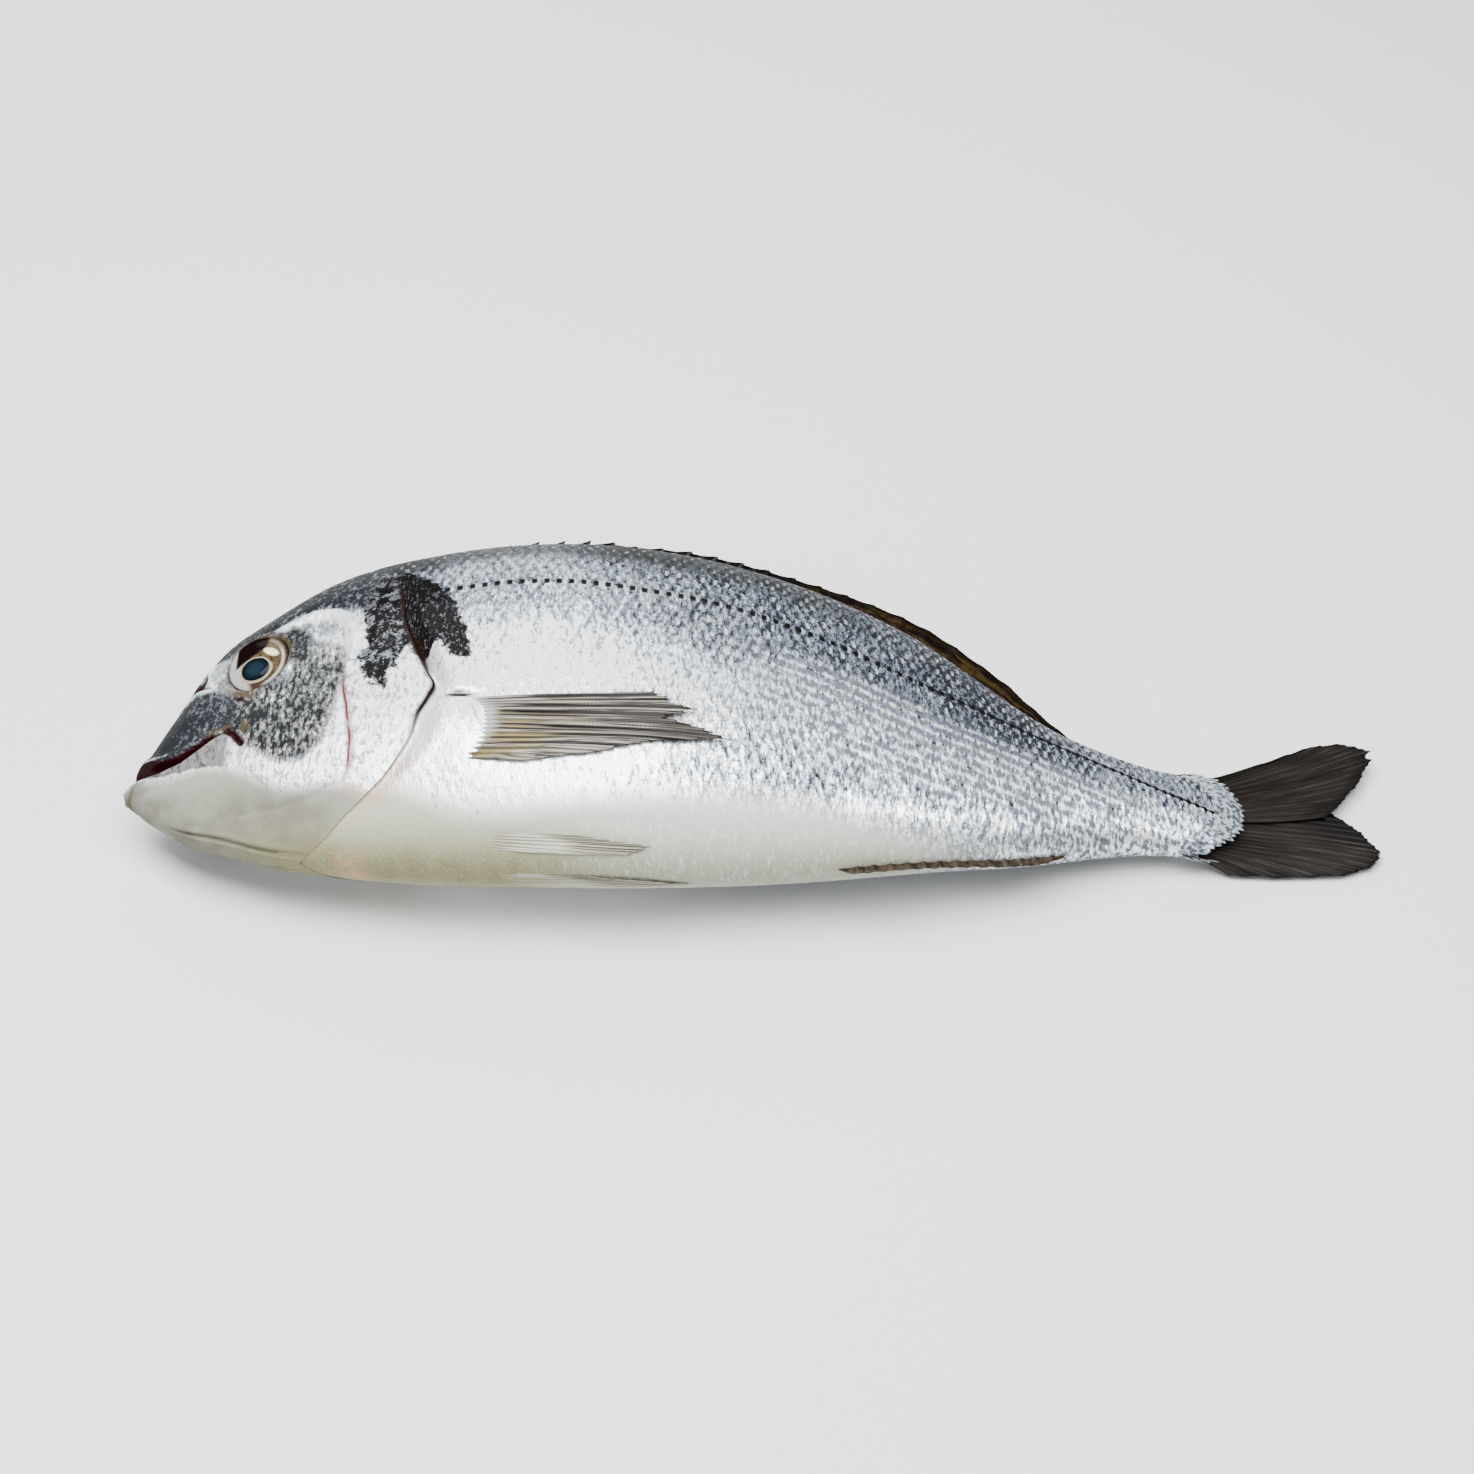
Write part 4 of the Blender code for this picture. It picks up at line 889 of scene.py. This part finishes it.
# Olive towards the root, in the tone of the belly's painted underside shade.
colour = w.mix(w.fade(0.30, 0.0, out), colour, (0.27, 0.265, 0.19))
late = w.sum("MULTIPLY", w.fade(0.42, 0.62, out), w.fade(0.85, 0.5, share))
colour = w.mix(w.sum("MULTIPLY", late, 0.6), colour, (0.20, 0.19, 0.13))
colour = w.mix(w.sum("MULTIPLY", late, w.fade(0.45, 0.62, swing(w, fibre, 0.8, rib))), colour, (0.045, 0.042, 0.028))
belly_finish = (colour, 0.35, w.bump(fibre, 0.00008))
for side, name in ((1, "left_belly_fin"), (-1, "right_belly_fin")):
    fin = lay_blade(name, 6, 112, 48, laid_on(side, True, PELVIC_ROOT[side], PELVIC_TIP[side],
                                             (-0.15, 0.5) if side > 0 else (-0.35, 0.4)), 0.55, lambda share: 0.08, 5.0)
    w.finish(fin, *belly_finish, 0.0, Coat_Weight=0.1, Coat_Roughness=0.2, Specular_IOR_Level=0.1)

# Back and anal fins: folded down along the middle, stiff pointed spines in front with the skin notched
# between them, soft rays behind. Brown-black, amber where the skin between the rear rays shows.
FIN_ROOT = 2.0


def crest(start, end, tall, line, direction, rise=0.0):
    def where(share, out):
        s = start + (end - start) * share
        swell = np.minimum(1.0, np.minimum(20 * share + 0.001, 7 * (1 - share) + 0.001)) ** 0.6
        top = (tall + rise * fade(0.26, 0.18, share)) * swell
        y = line(s) + direction * (-FIN_ROOT + (FIN_ROOT + top) * out)
        return np.stack([SNOUT_X + s + 0.75 * top * out, y + SHIFT_Y, middle_at(s) + 0.4 * np.sin(s / 9) * out], -1), \
            np.array([0.0, 0.0, 1.0])

    return where


w = Wiring("back_fin")
out, share, rib = w.field("out"), w.field("share"), w.field("rib")
fibre, lengthwise = streaks(w, 90.0, 2.0), streaks(w, 14.0, 7.0, 2.0)
rear = w.sum("MULTIPLY", w.fade(0.48, 0.62, share), w.fade(0.95, 0.72, out))
olive = w.mix(w.fade(0.4, 0.7, fibre), (0.028, 0.019, 0.006), (0.011, 0.0055, 0.002))
colour = w.mix(w.sum("MULTIPLY", rear, w.fade(0.44, 0.56, lengthwise)), (0.0040, 0.0028, 0.0024), olive)
front = w.sum("MULTIPLY", w.fade(0.5, 0.9, rib), w.fade(0.5, 0.4, share))
colour = w.mix(w.sum("MULTIPLY", front, 0.8), colour, (0.030, 0.030, 0.028))
back_fin = lay_blade("back_fin", 23, 420, 22, crest(76, 228, 6.0, back_at, 1, 2.1), 1.7,
                     lambda share: 0.02 + 0.06 * fade(0.75, 0.5, share) + 0.16 * fade(0.24, 0.16, share), 1.0, 1.0)
w.finish(back_fin, colour, 0.4, w.bump(fibre, 0.0001), 0.0, Coat_Weight=0.03, Coat_Roughness=0.2, Specular_IOR_Level=0.0)

w = Wiring("anal_fin")
fibre = streaks(w, 50.0, 2.0)
colour = w.mix(w.fade(0.35, 0.65, fibre), (0.010, 0.0065, 0.004), (0.042, 0.031, 0.019))
anal_fin = lay_blade("anal_fin", 14, 240, 18, crest(168, 222, 1.8, belly_at, -1), 1.2,
                     lambda share: 0.03, 2.0)
w.finish(anal_fin, colour, 0.35, w.bump(fibre, 0.0001), 0.0, Coat_Weight=0.1, Coat_Roughness=0.2, Specular_IOR_Level=0.1)

# Tail fin: two spread lobes, the upper lying over the lower. Brown-black, with fine rays that branch
# towards the rear edge, slightly paler skin between them and a darker border.
UPPER_LOBE_ROOT = [(0, 251, -9.0), (0.5, 257, -12.5), (1, 259, -22)]
UPPER_LOBE_TIP = [(0, 262, -5.6), (0.08, 267, -1.9), (0.2, 280, 4.2), (0.3, 286.5, 7.2), (0.42, 293.5, 7.7),
                  (0.53, 301.0, 5.2), (0.565, 299.2, 3.6), (0.60, 301.0, 2.2), (0.66, 299.0, -0.6), (0.76, 295.4, -7),
                  (0.88, 291, -13), (1, 287, -17.2)]
LOWER_LOBE_ROOT = [(0, 259, -17), (0.5, 258, -25), (1, 252, -31.5)]
LOWER_LOBE_TIP = [(0, 289.2, -14.2), (0.2, 295.6, -20.2), (0.36, 299.0, -25.9), (0.5, 299.3, -29.2), (0.64, 296, -32.4),
                  (0.78, 289, -34.6), (0.9, 273, -35.0), (1, 262, -34.4)]


def lobe(root, tip, heights, bow):
    def where(share, out):
        (s0, y0), (s1, y1) = spread(root, share), spread(tip, share)
        lift = 4 * out * (1 - out) * bow
        s, y = s0 + (s1 - s0) * out - lift * (y1 - y0), y0 + (y1 - y0) * out + lift * (s1 - s0)
        height = heights[0] + (heights[1] - heights[0]) * out + 0.25 * np.sin(share * 9 + out * 3) * out
        return np.stack([SNOUT_X + s, y + SHIFT_Y, height], -1), np.array([0.0, 0.0, 1.0])

    return where


w = Wiring("tail_fin")
out, share, rib = w.field("out"), w.field("share"), w.field("rib")
fibre, broad = streaks(w, 120.0, 2.6), streaks(w, 14.0, 1.6, 7.0)
colour = w.mix(w.fade(0.35, 0.65, broad), (0.0055, 0.0032, 0.0018), (0.015, 0.0125, 0.0095))
colour = w.mix(w.sum("MULTIPLY", w.fade(0.54, 0.72, fibre), w.fade(0.0, 0.2, out)), colour, (0.044, 0.036, 0.027))
dark_ray = w.sum("MULTIPLY", w.fade(0.45, 0.85, rib), 0.8)
colour = w.mix(dark_ray, colour, (0.0028, 0.0020, 0.0015))
border = w.sum("MAXIMUM", w.fade(0.86, 1.0, out), w.sum("MULTIPLY", w.fade(0.46, 0.25, share), w.fade(0.45, 0.8, out)))
colour = w.mix(w.sum("MULTIPLY", border, 0.85), colour, (0.0022, 0.0015, 0.0012))
tail_finish = (colour, 0.5, w.bump(fibre, 0.00012))
for name, root, tip, heights, seed, bow in (
        ("tail_fin_upper", UPPER_LOBE_ROOT, UPPER_LOBE_TIP, (6.9, 4.0), 1.0, -0.03),
        ("tail_fin_lower", LOWER_LOBE_ROOT, LOWER_LOBE_TIP, (5.7, 1.8), 6.0, 0.02)):
    fin = lay_blade(name, 15, 330, 60, lobe(root, tip, heights, bow), 1.1, lambda share: 0.03, seed)
    w.finish(fin, *tail_finish, 0.0, Coat_Weight=0.03, Coat_Roughness=0.3, Specular_IOR_Level=0.12)

# Scales at the tail root: the last rows of white scales end in loose pointed tongues over the tail fin.
bm = bmesh.new()
for row, (count, back_by, length) in enumerate(((22, 0.8, 3.0), (20, 2.8, 3.0), (23, -0.6, 2.2))):
    for side in (1, -1):
        for k in range(count):
            t = math.radians(14 + 152 * (k + 0.5 * (row % 2)) / (count - 1))
            s = body_end_at(t) - back_by + 0.7 * (scatter(k * 3.0 + row, 9.0) - 0.5)
            t *= side
            centre, up = section(s, t), outward(s, t)
            if centre[2] < 1.0:
                continue
            rear = section(s + 0.5, t) - section(s - 0.5, t)
            rear = rear / np.linalg.norm(rear) + np.array([0, 0.35 * math.cos(t) + 0.3 * (scatter(k * 1.0, row + 4.0) - 0.5), 0])
            rear = rear / np.linalg.norm(rear)
            wide = np.cross(up, rear)
            wide = wide / np.linalg.norm(wide)
            turn = Matrix((rear, wide, np.cross(rear, wide))).transposed().to_4x4()
            size = length * (0.8 + 0.4 * scatter(k * 2.0, row + 1.0))
            made = bmesh.ops.create_icosphere(bm, subdivisions=2, radius=1.0)
            for vert in made["verts"]:
                x, y, z = vert.co
                vert.co = (size * x, 1.0 * y * (1 - 0.5 * x), 0.14 * z + 0.04 * x)
            bmesh.ops.transform(bm, matrix=Matrix.Translation(Vector(centre + up * 0.12)) @ turn, verts=made["verts"])
bmesh.ops.scale(bm, vec=(MM, MM, MM), verts=bm.verts)
mesh = bpy.data.meshes.new("tail_root_scales")
bm.to_mesh(mesh)
bm.free()
mesh.shade_smooth()
tail_scales = bpy.data.objects.new("tail_root_scales", mesh)
bpy.context.scene.collection.objects.link(tail_scales)
w = Wiring("tail_scale_white")
tip_noise = w.noise(w.place(), 900.0, 2.0)
colour = w.mix(w.fade(0.40, 0.58, tip_noise), (0.42, 0.465, 0.50), (0.06, 0.075, 0.095))
w.finish(tail_scales, colour, 0.3, None, 0.2, Coat_Weight=0.1, Coat_Roughness=0.15, Specular_IOR_Level=0.1)
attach(tail_scales, "root")

# Surface, lights and camera: a plain pale floor under the fish, one broad soft light overhead, weaker ones
# from the sides, and the camera 45 degrees above the left flank.
bm = bmesh.new()
bmesh.ops.create_grid(bm, x_segments=1, y_segments=1, size=3.0)
floor_mesh = bpy.data.meshes.new("floor")
bm.to_mesh(floor_mesh)
bm.free()
floor = bpy.data.objects.new("floor", floor_mesh)
bpy.context.scene.collection.objects.link(floor)
w = Wiring("pale_floor")
w.finish(floor, (0.70, 0.70, 0.69, 1), 0.6)


def soft_light(name, spot, aim, size, power, colour=(1, 1, 1)):
    """A rectangular soft light."""
    data = bpy.data.lights.new(name, "AREA")
    data.shape = "RECTANGLE"
    data.size, data.size_y = size
    data.energy = power
    data.color = colour
    light = bpy.data.objects.new(name, data)
    light.location = spot
    light.rotation_euler = (Vector(aim) - Vector(spot)).to_track_quat("-Z", "Y").to_euler()
    bpy.context.scene.collection.objects.link(light)


soft_light("overhead", (-0.08, -0.12, 0.85), (0, 0, 0), (1.1, 0.5), 29.0)
soft_light("front_left", (-0.7, -0.7, 0.5), (0, 0, 0.02), (0.5, 0.5), 4.0)
soft_light("behind", (-0.28, 0.85, 0.68), (-0.05, 0, 0.02), (1.0, 0.45), 5.5, (0.93, 0.96, 1.0))
world = bpy.data.worlds.new("studio")
bpy.context.scene.world = world
world.use_nodes = True
world.node_tree.nodes["Background"].inputs["Color"].default_value = (0.80, 0.84, 0.90, 1)
world.node_tree.nodes["Background"].inputs["Strength"].default_value = 0.35

CAMERA_AIM, CAMERA_AWAY, CAMERA_ELEVATION = (-0.0058, -0.0032, 0.014), 0.843, math.radians(45)
camera_data = bpy.data.cameras.new("camera")
camera_data.lens = 85
camera_data.sensor_width = 36
camera = bpy.data.objects.new("camera", camera_data)
camera.location = Vector(CAMERA_AIM) + CAMERA_AWAY * Vector((0, -math.cos(CAMERA_ELEVATION),
                                                             math.sin(CAMERA_ELEVATION)))
camera.rotation_euler = (math.pi / 2 - CAMERA_ELEVATION, 0, 0)
bpy.context.scene.collection.objects.link(camera)
bpy.context.scene.camera = camera
